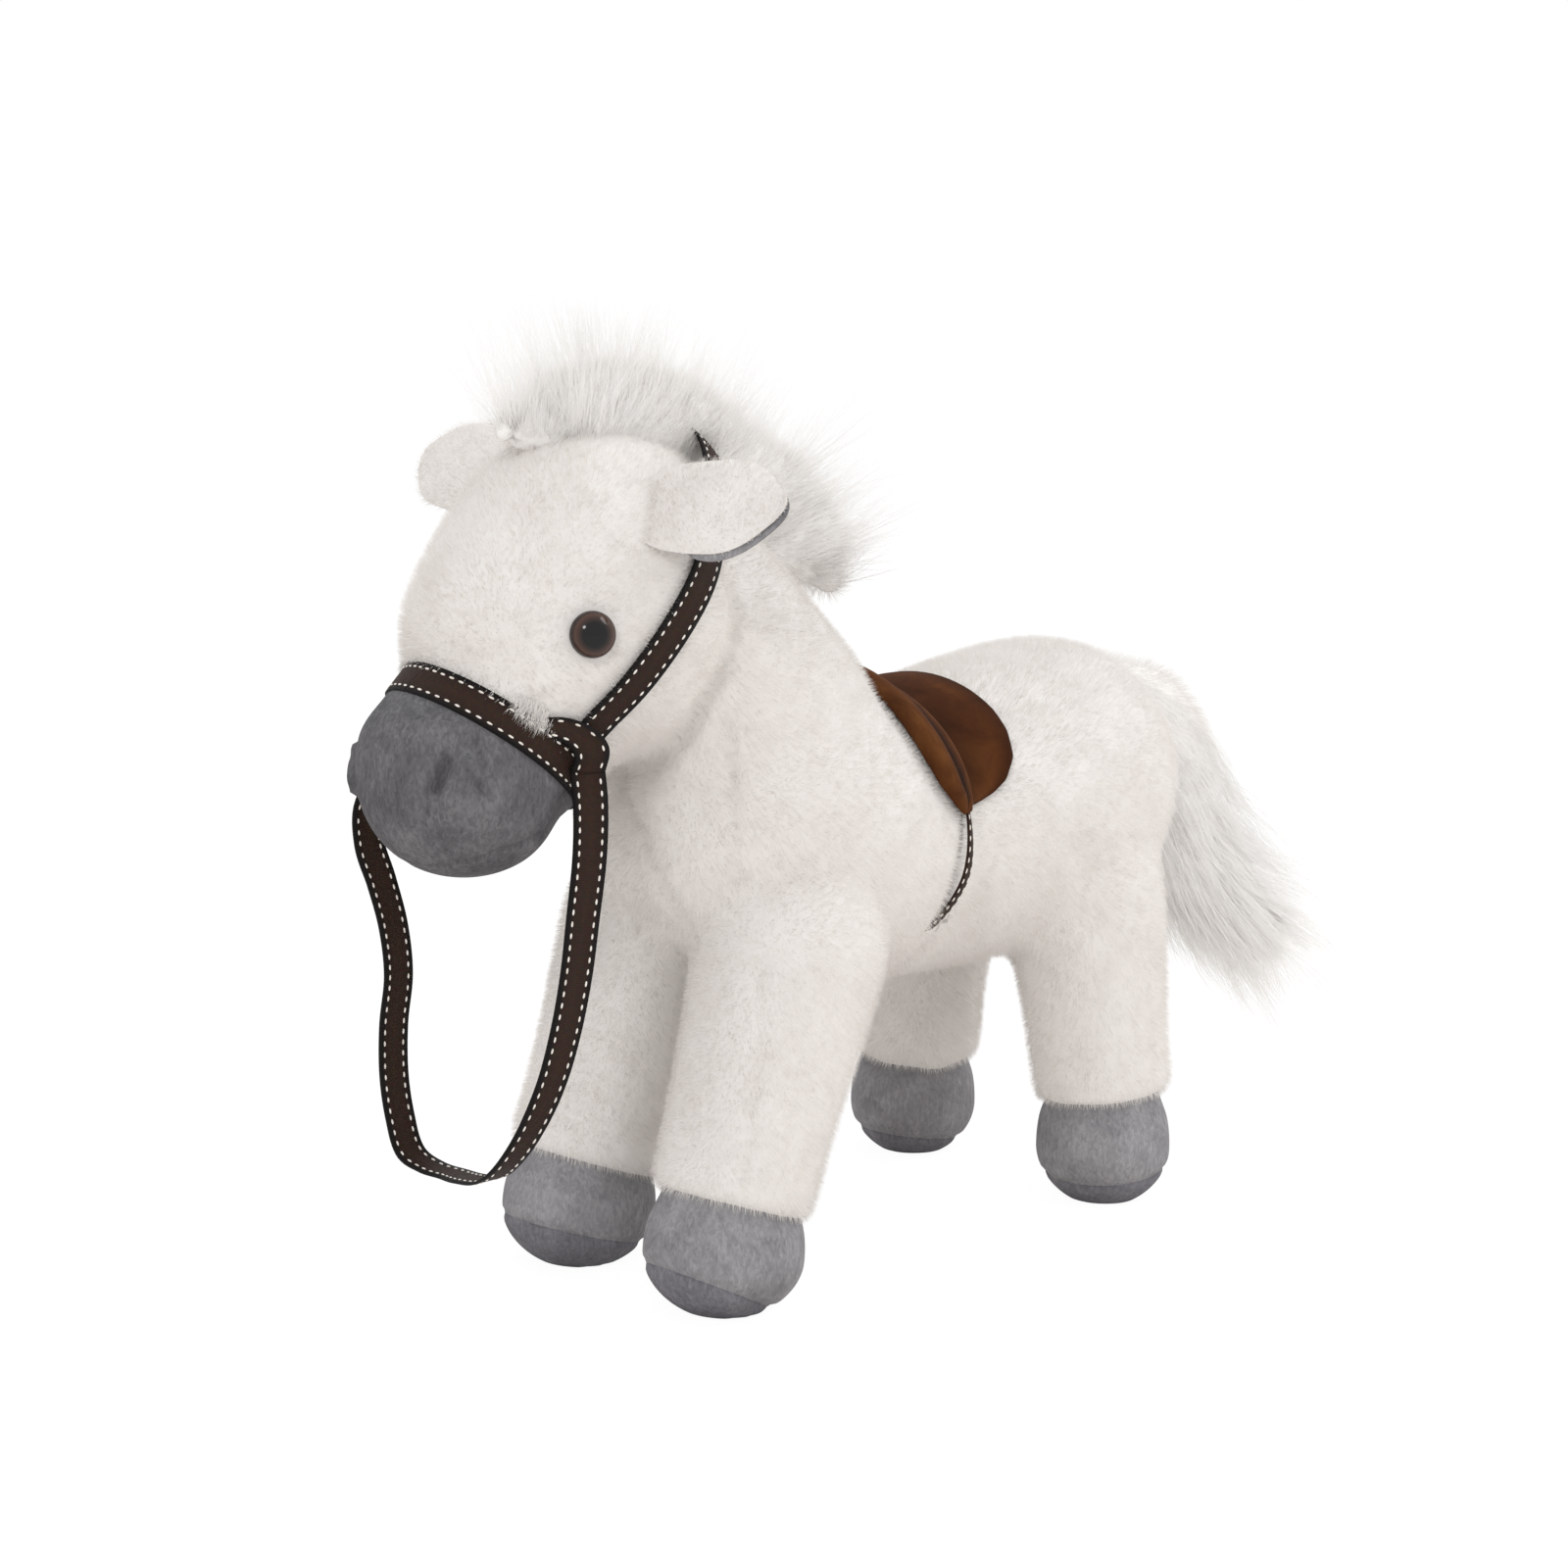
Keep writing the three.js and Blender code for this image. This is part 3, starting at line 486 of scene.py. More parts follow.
# Creases and seams: below the jaw, down the chest beside each front leg, and down the front of each leg
for depth, reach, line in (
        (2.6, 3.0, ((36.3, -83, 210), (35.5, -77.5, 199.4), (35.4, -78.2, 188.5), (33.8, -80, 181.3),
                    (29.4, -84.4, 171.6), (20.9, -86.5, 159.9), (9.8, -88.3, 152.8), (1, -88.9, 149.6))),
        (1.6, 2.2, ((0.4, -89.2, 145.7), (9.5, -89.3, 134.1), (12.4, -82.8, 116.9), (12.5, -73, 101))),
        (0.9, 2.0, ((31.9, -76.8, 165.5), (31.5, -74.9, 151.4), (33.5, -75.7, 136.6), (31.6, -73.6, 120.9))),
        (0.9, 1.8, ((41.7, -74, 100.2), (45.3, -77.6, 79.2), (46.3, -81.2, 63.4), (48, -86.7, 42.6)))):
    for side in (1, -1):
        pressed_in(plush_cover.data.vertices, [at(side * x, y, z) for x, y, z in line], depth * mm, reach * mm)
        plush_cover.data.update()
for vert in plush_cover.data.vertices:
    off_girth = (vert.co - girth_top).dot(girth_way) / mm
    if abs(off_girth) < 14 and vert.co.z < girth_top.z + 2 * mm:
        sunk = 0.4 + 2.8 * min(max((girth_top.z - vert.co.z) / (30 * mm), 0), 1)
        vert.co -= vert.normal * sunk * mm * np.exp(-(off_girth / 4.5) ** 2)
plush_cover.data.shade_smooth()
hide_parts("trunk_cover", "neck_cover", "head_cover", "front_left_leg_cover",
            "front_right_leg_cover", "rear_left_leg_cover", "rear_right_leg_cover")
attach(plush_cover, "horse")

# Muzzle: grey short-nap velboa over the lips and nose, sewn to the plush along the noseband, with painted shade: its
# tones are set darker than the same velboa's on the hooves.
# Each nostril is a slit pulled in by a stitch, with a raised fold beside it, and the mouth is a shallow seam.
muzzle_velboa_painted_shade, shader, add, join = blank_finish("grey_velboa", 0.95)
place = add("TexCoord")
nap_patches = add("TexNoise", Scale=60.0, Detail=4.0, Roughness=0.6, Distortion=0.9)
join(place.outputs["Object"], nap_patches.inputs["Vector"])
nap_grain = add("TexNoise", Scale=900.0, Detail=3.0, Roughness=0.55, Distortion=0.8)
nap_lay = add("Mapping", Scale=(1, 1, 0.45))
join(place.outputs["Object"], nap_lay.inputs["Vector"])
join(nap_lay.outputs[0], nap_grain.inputs["Vector"])
nap_sum = add("MixRGB", blend_type="MIX", Fac=0.5)
join(nap_patches.outputs["Fac"], nap_sum.inputs[1])
join(nap_grain.outputs["Fac"], nap_sum.inputs[2])
# Painted shade: the muzzle's nap tones are darker than the hooves' tones of the same velboa.
muzzle_nap_tones_painted_shade = ramp_of(add, (0.36, tone(84, 83, 86)), (0.5, tone(102, 101, 104)), (0.64, tone(122, 121, 124)))
join(nap_sum.outputs[0], muzzle_nap_tones_painted_shade.inputs[0])
join(muzzle_nap_tones_painted_shade.outputs[0], shader.inputs["Base Color"])
nap_bump = add("Bump", Strength=0.6, Distance=0.5 * mm)
join(nap_sum.outputs[0], nap_bump.inputs["Height"])
join(nap_bump.outputs[0], shader.inputs["Normal"])


bm = bmesh.new()
add_stuffed(bm, head, 0, 112, 150)
bm.normal_update()
for line, depth, reach in (
        (((0.128, 0.78), (0.110, 0.77), (0.094, 0.74), (0.078, 0.71)), 4.6, 1.6),
        (((0.148, 0.60), (0.119, 0.57), (0.096, 0.56), (0.075, 0.53)), -2.4, 1.7),
        (((0.200, 0.66), (0.172, 0.55), (0.160, 0.44), (0.120, 0.36)), 1.7, 1.1),
        (((0.010, -0.90), (0.035, -0.50), (0.075, -0.47), (0.115, -0.51), (0.160, -0.56)), 1.4, 1.0)):
    for mirrored in (False, True):
        bm.normal_update()
        pressed_in(list(bm.verts), [on_form(head, along, pi - angle if mirrored else angle) for along, angle in line],
                   depth * mm, reach * mm)
cut = bmesh.ops.bisect_plane(
    bm, geom=[*bm.verts, *bm.edges, *bm.faces], plane_co=nose_spot, plane_no=nose_way, clear_inner=True)
bmesh.ops.holes_fill(bm, edges=[e for e in cut["geom_cut"] if isinstance(e, bmesh.types.BMEdge)])
muzzle = new_piece("muzzle", bm, muzzle_velboa_painted_shade)
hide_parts("muzzle_cover")
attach(muzzle, "horse")

# Hooves: each is a grey velboa cap sewn to the leg, with a sole of darker velboa below a seam.
# The seams were sewn by hand, so each rises differently towards its toe. The soles are flat underneath.
hoof_cloths = {}
# The hooves' copy takes the velboa's own paler tones, without the muzzle's painted shade; the soles' darker velboa is
# their own cloth.
for name, nap_colours in (("pale_velboa", (tone(124, 123, 126), tone(144, 143, 146), tone(164, 163, 166))),
                          ("dark_velboa", (tone(102, 101, 106), tone(120, 119, 125), tone(139, 138, 144)))):
    hoof_cloths[name] = muzzle_velboa_painted_shade.copy()
    hoof_cloths[name].name = name
    nap_ramp = next(node for node in hoof_cloths[name].node_tree.nodes if node.type == "VALTORGB").color_ramp
    for stop, colour in zip(nap_ramp.elements, nap_colours):
        stop.color = (*colour, 1)
hooves = []
hoof_shares = [(0.00, 0.00, 0.94, 0.96), (0.36, 0.00, 1.00, 1.00), (0.54, 0.00, 0.96, 0.96),
               (0.70, 0.00, 0.82, 0.82), (1.00, 0.00, 0.60, 0.60)]
for name, side, seam_height, seam_rise in (("front_left", 1, 4.8, 0.54), ("front_right", -1, 9.2, 0.32),
                                           ("rear_left", 1, 9.5, -0.09), ("rear_right", -1, 5.5, 0.16)):
    in_front = name.startswith("front")
    track, back, height, width = (31.5, -81, 32, 46) if in_front else (41.5, 81, 36.5, 43)
    tuck_back = back + (5 if in_front else 1)
    hoof = form_of(at(side * track, back, -3), at(side * track, tuck_back, height + 14), hoof_shares,
                   width, width, 0.36, 0.12)
    hooves.append(hoof)
    seam_spot = at(side * track, back, seam_height)
    seam_way = Vector((0, seam_rise, 1)).normalized()
    for part, finish, slot, clear in (("hoof", hoof_cloths["pale_velboa"], "grey_velboa", "clear_inner"),
                                      ("sole", hoof_cloths["dark_velboa"], "dark_velboa", "clear_outer")):
        bm = bmesh.new()
        add_stuffed(bm, hoof, 0, 72, 64)
        for vert in bm.verts:
            off_seam = (vert.co - seam_spot).dot(seam_way) / mm
            vert.co -= vert.normal * 0.9 * mm * np.exp(-(off_seam / 1.3) ** 2)
        cut = bmesh.ops.bisect_plane(bm, geom=[*bm.verts, *bm.edges, *bm.faces], plane_co=seam_spot,
                                     plane_no=seam_way, **{clear: True})
        bmesh.ops.holes_fill(bm, edges=[e for e in cut["geom_cut"] if isinstance(e, bmesh.types.BMEdge)])
        for vert in bm.verts:
            vert.co.z = max(vert.co.z, 0)
        piece = new_piece(f"{name}_{part}", bm, finish)
        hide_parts(f"{name}_hoof_cover" if part == "hoof" else f"{name}_hoof_sole")
        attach(piece, "horse")

# Halter: a noseband over the nose seam and a headstall from its sides up over the poll, of the reins' ribbon.
# Both lie on the pile and press it flat, so their edges sink into it.
def form_tree(form, grow=0):
    """A stuffed form's skin, to lay things on."""
    bm = bmesh.new()
    add_stuffed(bm, form, grow, 96, 96)
    tree = BVHTree.FromBMesh(bm)
    bm.free()
    return tree


def wound(tree, middle, first, second, width, lift, angles, keep=None):
    """Lays a ribbon round what the tree holds, lifted off it by lift(angle) millimetres.

    Gives the ribbon's length and where each point of it lies.
    """
    way = first.cross(second).normalized()
    rows = []
    for angle in angles:
        out = first * cos(angle) + second * sin(angle)
        row = []
        for across in np.linspace(-1, 1, 5):
            start = middle + way * across * width / 2 + out * 0.3
            spot, normal, _, _ = tree.ray_cast(start, -out)
            row.append(spot + normal * lift(angle) * mm)
        if keep is None or keep(row[2]):
            rows.append([list(spot) for spot in row])
    rows = np.array(rows)
    for _ in range(6):
        rows[1:-1] = (rows[:-2] + 2 * rows[1:-1] + rows[2:]) / 4
    run = np.concatenate([[0], np.cumsum(np.linalg.norm(np.diff(rows[:, 2], axis=0), axis=1))])
    share = run / run[-1] * 2 - 1

    def place(across, along):
        column = (min(max(across, -1), 1) + 1) * 2
        low = min(int(column), 3)
        line = rows[:, low] * (1 - column + low) + rows[:, low + 1] * (column - low)
        return Vector([np.interp(along, share, line[:, k]) for k in range(3)])

    return float(run[-1]), place


head_tree = form_tree(head)
nose_up = across_x.cross(nose_way).normalized()
nose_side = nose_way.cross(nose_up).normalized()
noseband_length, noseband_place = wound(
    head_tree, nose_spot, nose_side, nose_up, ribbon_width, lambda angle: 0.4, np.linspace(-pi / 2, 3 * pi / 2, 121))
headstall_low, headstall_top = at(0, -126, 167), at(0, -70, 241)
headstall_run = (headstall_top - headstall_low).normalized()
behind_noseband = nose_spot - nose_way * 3 * mm
headstall_length, headstall_place = wound(
    head_tree, (headstall_low + headstall_top) / 2, across_x, headstall_run, ribbon_width,
    lambda angle: 0.3 + 8 * max(0, sin(angle)) ** 5,
    np.linspace(-0.45 * pi, 1.45 * pi, 161), lambda spot: (spot - behind_noseband).dot(nose_way) < 0)
for name, length, place_on in (("noseband", noseband_length, noseband_place),
                               ("headstall", headstall_length, headstall_place)):
    band = strip_of(f"{name}_ribbon", 6, 200, (ribbon_width, length), ribbon_thickness, place_on, woven_ribbon)
    stitches = sewn_rows(f"{name}_stitches", (ribbon_width, length), 1.6 * mm, ribbon_thickness, place_on, stitch_thread)
    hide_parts(name)
    for piece in (band, stitches):
        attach(piece, "horse")

# Rein fold: the rein's near end comes out over the noseband and turns down in a soft fold, sewn where it starts.
fold_inner = even_route([at(27, -141, 167.2), at(29, -137.5, 166.2), at(30.8, -134, 164.4), at(31.4, -132, 161.5),
                         at(29.4, -131.4, 157)], 24)[0]
fold_outer = even_route([at(26.4, -142, 171.2), at(29, -137.5, 171.8), at(31.2, -132, 171), at(33.2, -126.5, 168),
                         at(34.4, -122.8, 163), at(32.4, -122.8, 156)], 24)[0]


def fold_place(across, along):
    """Where the rein fold lies, between its inner and its outer edge."""
    step = (min(max(along, -1), 1) + 1) * 12
    low = min(int(step), 23)
    inner, outer = (edge[low] * (1 - step + low) + edge[low + 1] * (step - low) for edge in (fold_inner, fold_outer))
    return Vector(inner * (1 - across) / 2 + outer * (1 + across) / 2)


fold_size = (ribbon_width, 20 * mm)
rein_fold = strip_of("rein_fold_ribbon", 6, 40, fold_size, ribbon_thickness, fold_place, woven_ribbon)
fold_stitches = sewn_rows("rein_fold_stitches", fold_size, 1.6 * mm, ribbon_thickness, fold_place, stitch_thread)
for piece in (rein_fold, fold_stitches):
    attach(piece, "horse")

# Girth: the same ribbon from the saddle's two points round under the belly, its rear edge turned under, laid as one
# narrow flat strip.
# It is pulled so tight that it sinks into a fold, and the pile closes over it lower down.
girth_width = 3.8 * mm
trunk_tree = form_tree(trunk)
girth_length, girth_place = wound(
    trunk_tree, girth_top, across_x, girth_run, girth_width,
    lambda angle: 0.3 - 4.4 * min(max((min(-angle, angle + pi) - 0.26) / 0.4, 0), 1),
    np.linspace(0.14, -pi - 0.14, 111))
girth = strip_of("girth_ribbon", 6, 160, (girth_width, girth_length), ribbon_thickness, girth_place, woven_ribbon)
girth_stitches = sewn_rows(
    "girth_stitches", (girth_width, girth_length), 0.4 * mm, ribbon_thickness, girth_place, stitch_thread)
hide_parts("girth_strap")
for piece in (girth, girth_stitches):
    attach(piece, "horse")

# Saddle: a flap of brown suede cloth laid over the back, cut to a point on each side and rolled at its front.
# Behind the roll a deep fold runs down to the point, and softer folds fan out behind that. The folds' light and shade
# are also painted into the suede: painted highlight on the roll and ridges, painted shade in the grooves.
suede_cloth, shader, add, join = blank_finish("brown_suede", 0.92)
place = add("TexCoord")
nap = add("TexNoise", Scale=55.0, Detail=5.0, Roughness=0.6, Distortion=0.8)
join(place.outputs["Object"], nap.inputs["Vector"])
nap_ramp = ramp_of(add, (0.3, tone(76, 41, 15)), (0.5, tone(94, 54, 23)), (0.72, tone(115, 72, 35)))
join(nap.outputs["Fac"], nap_ramp.inputs[0])
spread = add("SeparateXYZ")
join(place.outputs["UV"], spread.inputs[0])
across_share = add("MapRange")
across_share.inputs["From Min"].default_value, across_share.inputs["From Max"].default_value = -25.5 * mm, 25.5 * mm
join(spread.outputs["X"], across_share.inputs["Value"])
# Painted light and shade across the flap, following the fold heights of saddle_place: lighter on the roll, the ridge
# and the rear swell, darker in the groove behind the roll and the hollows between.
painted_fold_light_and_shade = ramp_of(add, (0.0, tone(205, 198, 192)), (0.10, tone(255, 255, 255)), (0.19, tone(225, 218, 212)),
                     (0.24, tone(95, 84, 78)), (0.29, tone(130, 118, 112)), (0.37, tone(235, 226, 220)),
                     (0.46, tone(150, 138, 130)), (0.62, tone(175, 164, 156)), (0.86, tone(225, 214, 206)),
                     (1.0, tone(165, 152, 144)))
join(across_share.outputs[0], painted_fold_light_and_shade.inputs[0])
shaded_nap = add("MixRGB", blend_type="MULTIPLY", Fac=1.0)
join(nap_ramp.outputs[0], shaded_nap.inputs[1])
join(painted_fold_light_and_shade.outputs[0], shaded_nap.inputs[2])
join(shaded_nap.outputs[0], shader.inputs["Base Color"])
grain = add("TexNoise", Scale=1500.0, Detail=2.0)
join(place.outputs["Object"], grain.inputs["Vector"])
grain_bump = add("Bump", Strength=0.4, Distance=0.3 * mm)
join(grain.outputs["Fac"], grain_bump.inputs["Height"])
join(grain_bump.outputs[0], shader.inputs["Normal"])
# Its front and rear edge at some angles up the horse's side, from the point to the spine
saddle_angles = np.radians([8.2, 9.4, 11, 13.2, 17, 25, 36, 47, 60, 90])
saddle_front = [-4.5, -6.5, -8.2, -9.8, -12.4, -14.8, -16, -16, -16, -16]
saddle_rear = [-2.5, 6, 16, 21.5, 27, 32.5, 35.5, 36.5, 36.5, 36]


def saddle_place(across, along):
    """Where the saddle lies: across runs from its front to its rear edge, along from its right to its left point."""
    share = 1 - abs(along)
    full = sin(min(share * 2.3, 1) * pi / 2) ** 0.75
    angle = saddle_angles[0] + (pi / 2 - saddle_angles[0]) * share ** 1.4
    part = (across + 1) / 2
    back = (np.interp(angle, saddle_angles, saddle_front) * (1 - part) + np.interp(angle, saddle_angles, saddle_rear) * part)
    out = Vector((cos(angle) * (1 if along > 0 else -1), 0, sin(angle)))
    spot, normal, _, _ = trunk_tree.ray_cast(at(0, back, 128) + out * 0.3, -out)
    roll = 2.6 * sin(pi * min(part / 0.22, 1)) ** 0.7
    ridge = 2.0 * np.exp(-((part - 0.38) / 0.065) ** 2)
    belly = 1.4 * sin(pi * (part - 0.5) / 0.5) if part > 0.5 else 0
    return spot + normal * (0.4 + (roll + ridge + belly) * full) * mm


saddle = strip_of("saddle_flap", 48, 150, (51 * mm, 190 * mm), 1.8 * mm, saddle_place, suede_cloth)
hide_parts("saddle")
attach(saddle, "horse")

# Eyes: glossy brown plastic domes with a black pupil, each pushed through the cloth up to its rim.
eye_plastic, shader, add, join = blank_finish("eye_plastic", 0.08)
spread = add("SeparateXYZ")
join(add("TexCoord").outputs["UV"], spread.inputs[0])
iris = ramp_of(add, (0.0, tone(6, 4, 4)), (0.52, tone(8, 5, 4)), (0.64, tone(44, 30, 25)),
               (0.84, tone(78, 52, 43)), (0.94, tone(46, 30, 25)), (1.0, tone(22, 15, 13)))
join(spread.outputs["X"], iris.inputs[0])
join(iris.outputs[0], shader.inputs["Base Color"])
shader.inputs["Specular IOR Level"].default_value = 0.36
eye_radius, eye_height = 6.2 * mm, 4.2 * mm
for name, angle in (("left", 0.35), ("right", pi - 0.35)):
    spot, out = seat_on(head, 0.468, angle)
    bm = bmesh.new()
    uv = bm.loops.layers.uv.new("UVMap")
    steps = 14
    outline = [bm.verts.new((eye_radius * 0.94, 0, -2.2 * mm)), bm.verts.new((eye_radius, 0, -0.9 * mm))]
    outline += [bm.verts.new((eye_radius * cos(pi / 2 * k / steps), 0, eye_height * sin(pi / 2 * k / steps) - 0.4 * mm))
                for k in range(steps + 1)]
    edges = [bm.edges.new(pair) for pair in zip(outline, outline[1:])]
    bmesh.ops.spin(bm, geom=[*outline, *edges], cent=(0, 0, 0), axis=(0, 0, 1), dvec=(0, 0, 0),
                   angle=2 * pi, steps=48, use_merge=True)
    bmesh.ops.remove_doubles(bm, verts=bm.verts, dist=0.01 * mm)
    bmesh.ops.holes_fill(bm, edges=[e for e in bm.edges if e.is_boundary])
    bm.normal_update()
    bmesh.ops.recalc_face_normals(bm, faces=bm.faces)
    turn = Vector((0, 0, 1)).rotation_difference(out).to_matrix()
    # The pupil is painted a little nearer to the nose than the dome's middle
    pupil_spot = (turn.inverted() @ Vector((0, -1.3 * mm, 0))).xy
    for face in bm.faces:
        for loop in face.loops:
            from_pupil = (loop.vert.co.xy - pupil_spot * (1 - loop.vert.co.xy.length / eye_radius)).length
            loop[uv].uv = (from_pupil / eye_radius, loop.vert.co.z / eye_height)
    bm.transform(Matrix.Translation(spot) @ turn.to_4x4())
    eye = new_piece(f"{name}_eye_dome", bm, eye_plastic)
    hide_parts(f"{name}_eye")
    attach(eye, "horse")

# Pile: short soft fibres all over the plush cover, combed back and down, in small tufts.
# Under the ribbons they are pressed flat, and none grow under the saddle or in front of the eyes.
def mesh_arrays(piece):
    """A piece's triangles, its points and the way out at each point."""
    mesh = piece.data
    mesh.calc_loop_triangles()
    corners = np.empty(3 * len(mesh.loop_triangles), np.int32)
    mesh.loop_triangles.foreach_get("vertices", corners)
    places, outs = np.empty(3 * len(mesh.vertices)), np.empty(3 * len(mesh.vertices))
    mesh.vertices.foreach_get("co", places)
    mesh.vertices.foreach_get("normal", outs)
    return corners.reshape(-1, 3), places.reshape(-1, 3), outs.reshape(-1, 3)


def unit(ways):
    """Each row of an array of directions, made one long."""
    return ways / np.maximum(np.linalg.norm(ways, axis=-1, keepdims=True), 1e-9)


def scattered(piece, per_mm2, draws):
    """Random roots all over a piece, with the way out at each."""
    corners, places, outs = mesh_arrays(piece)
    a, b, c = (places[corners[:, k]] for k in range(3))
    areas = np.linalg.norm(np.cross(b - a, c - a), axis=1) / 2
    count = int(areas.sum() / mm ** 2 * per_mm2 * (1))
    chosen = corners[draws.choice(len(areas), count, p=areas / areas.sum())]
    u, v = draws.random((2, count))
    over = u + v > 1
    u[over], v[over] = 1 - u[over], 1 - v[over]
    shares = np.stack([1 - u - v, u, v], axis=1)[:, :, None]
    return (places[chosen] * shares).sum(axis=1), unit((outs[chosen] * shares).sum(axis=1))


def swirl(places, scale, draws):
    """A smooth random direction at each place, that turns over a distance of about the scale."""
    waves = draws.normal(size=(10, 3)) * 2 * pi / scale
    starts = draws.random((10, 3)) * 2 * pi
    return np.sin(places @ waves.T[:, :, None].reshape(3, -1) + starts[:, 0]) @ draws.normal(size=(10, 3)) / sqrt(10)


def grown(name, pattern, paths, across, up, finish):
    """Copies of one strand, each laid on its own path. The pattern runs along z, from root to tip."""
    steps = paths.shape[1] - 1
    piece = new_piece(name, pattern, finish)
    local = mesh_arrays(piece)[1]
    copies = piece.modifiers.new("copies", "ARRAY")
    copies.count = len(paths)
    copies.use_relative_offset = False
    settled(piece)
    rows = np.rint(local[:, 2] * steps).astype(int)
    places = paths[:, rows] + across[:, rows] * local[:, 0, None] + up[:, rows] * local[:, 1, None]
    piece.data.vertices.foreach_set("co", places.reshape(-1))
    piece.data.shade_flat()
    return piece


def fibre(steps):
    """One fibre: three sides, in that many steps, that meet at the tip."""
    bm = bmesh.new()
    bmesh.ops.create_cone(bm, segments=3, radius1=1, radius2=0 if steps == 1 else 1, depth=1, cap_ends=False)
    bmesh.ops.translate(bm, verts=bm.verts, vec=(0, 0, 0.5))
    bmesh.ops.remove_doubles(bm, verts=bm.verts, dist=0.01)
    if steps > 1:
        bmesh.ops.subdivide_edges(bm, edges=[e for e in bm.edges if abs(e.verts[0].co.z - e.verts[1].co.z) > 0.5],
                                  cuts=steps - 1, use_grid_fill=True)
        bmesh.ops.pointmerge(bm, verts=[vert for vert in bm.verts if vert.co.z > 0.99], merge_co=(0, 0, 1))
    return bm


def fibre_finish(name, pale, shaded):
    """Soft white fibre, a little warmer and darker in drifts, as brushed pile is."""
    finish, shader, add, join = blank_finish(name, 1)
    drift = add("TexNoise", Scale=38.0, Detail=2.0)
    join(add("TexCoord").outputs["Object"], drift.inputs["Vector"])
    tones = ramp_of(add, (0.38, shaded), (0.62, pale))
    join(drift.outputs["Fac"], tones.inputs[0])
    join(tones.outputs[0], shader.inputs["Base Color"])
    return finish


pile_fibre = fibre_finish("plush_pile", tone(244, 241, 238), tone(239, 235, 231))


def short_pile(name, roots, outs, length, width, draws, combed, flat=None, fluff=0.02):
    """One piece of short pile on the given roots, combed along the given ways."""
    sleek = combed - outs * (combed * outs).sum(axis=1, keepdims=True)
    tuft = swirl(roots, 26 * mm, draws) * 0.12 + swirl(roots, 7 * mm, draws) * fluff
    lean = unit(outs * 0.85 + sleek * 0.5 + tuft + draws.normal(size=roots.shape) * 0.13)
    reach = length * draws.uniform(0.75, 1.1, (len(roots), 1))
    if flat is not None:
        lean = np.where(flat[:, None], unit(lean + sleek * 2.5), lean)
        reach = np.where(flat[:, None], reach * 0.5, reach)
    paths = np.stack([roots - outs * 0.5 * mm, roots + lean * reach], axis=1)
    side = unit(np.cross(lean, outs + 0.01)) * width
    up = unit(np.cross(lean, side)) * width
    piece = grown(name, fibre(1), paths, np.stack([side, side], axis=1), np.stack([up, up], axis=1), pile_fibre)
    return piece


draws = np.random.default_rng(7)
roots, outs = scattered(plush_cover, 2.2, draws)
side, back, height = (roots / mm).T
back = back - hoof_to_middle
above_legs = np.clip((height - 78) / 32, 0, 1)
combed = np.stack([height * 0, 0.05 + 0.75 * above_legs, 0.55 * above_legs - 1], axis=1)
combed[(height > 150) & (back < -88)] = (0, 0.73, 0.3)


def off_plane(spot, way):
    """How far each root lies beyond a plane, in millimetres."""
    return (roots - np.array(spot)) @ np.array(way) / mm


half_ribbon = ribbon_width / mm / 2
headstall_way = across_x.cross(headstall_run)
in_muzzle = (roots - np.array(nose_spot)) @ np.array(nose_way) > 0
over_head = (height > 150) & (back < -90)
under_noseband = over_head & (np.abs(off_plane(nose_spot, nose_way)) < half_ribbon - 0.8)
under_headstall = over_head & (np.abs(off_plane(headstall_low, headstall_way)) < half_ribbon - 0.8)
under_girth = (height < 131) & (np.abs(off_plane(girth_top, girth_way)) < 1.6) & (np.abs(back) < 20)
up_side = np.arctan2(height - 128, np.abs(side))
under_saddle = ((up_side > saddle_angles[0] + 0.01) & (back > np.interp(up_side, saddle_angles, saddle_front) + 0.8)
                & (back < np.interp(up_side, saddle_angles, saddle_rear) - 0.8))
near_eye = np.zeros(len(roots), bool)
for angle in (0.35, pi - 0.35):
    spot, _ = seat_on(head, 0.468, angle)
    near_eye |= np.linalg.norm(roots - np.array(spot), axis=1) < 7.4 * mm
grows = ~(in_muzzle & over_head) & ~near_eye & ~under_saddle
flat = under_noseband | under_headstall | under_girth
on_head = (back < -88) & (height > 150)
on_neck = ~on_head & (back < -20) & (height > 165)
on_front_leg = ~on_head & (back < -30) & (height < 92)
on_rear_leg = (back > 40) & (height < 92)
on_chest = ~(on_head | on_neck | on_front_leg | on_rear_leg) & (back < 15)
on_rump = ~(on_head | on_neck | on_front_leg | on_rear_leg | on_chest) & (height > 118)
on_belly = ~(on_head | on_neck | on_front_leg | on_rear_leg | on_chest | on_rump)
for name, region in (("head_pile", on_head), ("neck_pile", on_neck), ("chest_pile", on_chest), ("rump_pile", on_rump),
                     ("belly_pile", on_belly), ("front_leg_pile", on_front_leg), ("rear_leg_pile", on_rear_leg)):
    here = region & grows
    pile = short_pile(name, roots[here], outs[here], 2.6 * mm, 0.08 * mm, draws, combed[here], flat=flat[here])
    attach(pile, "horse")

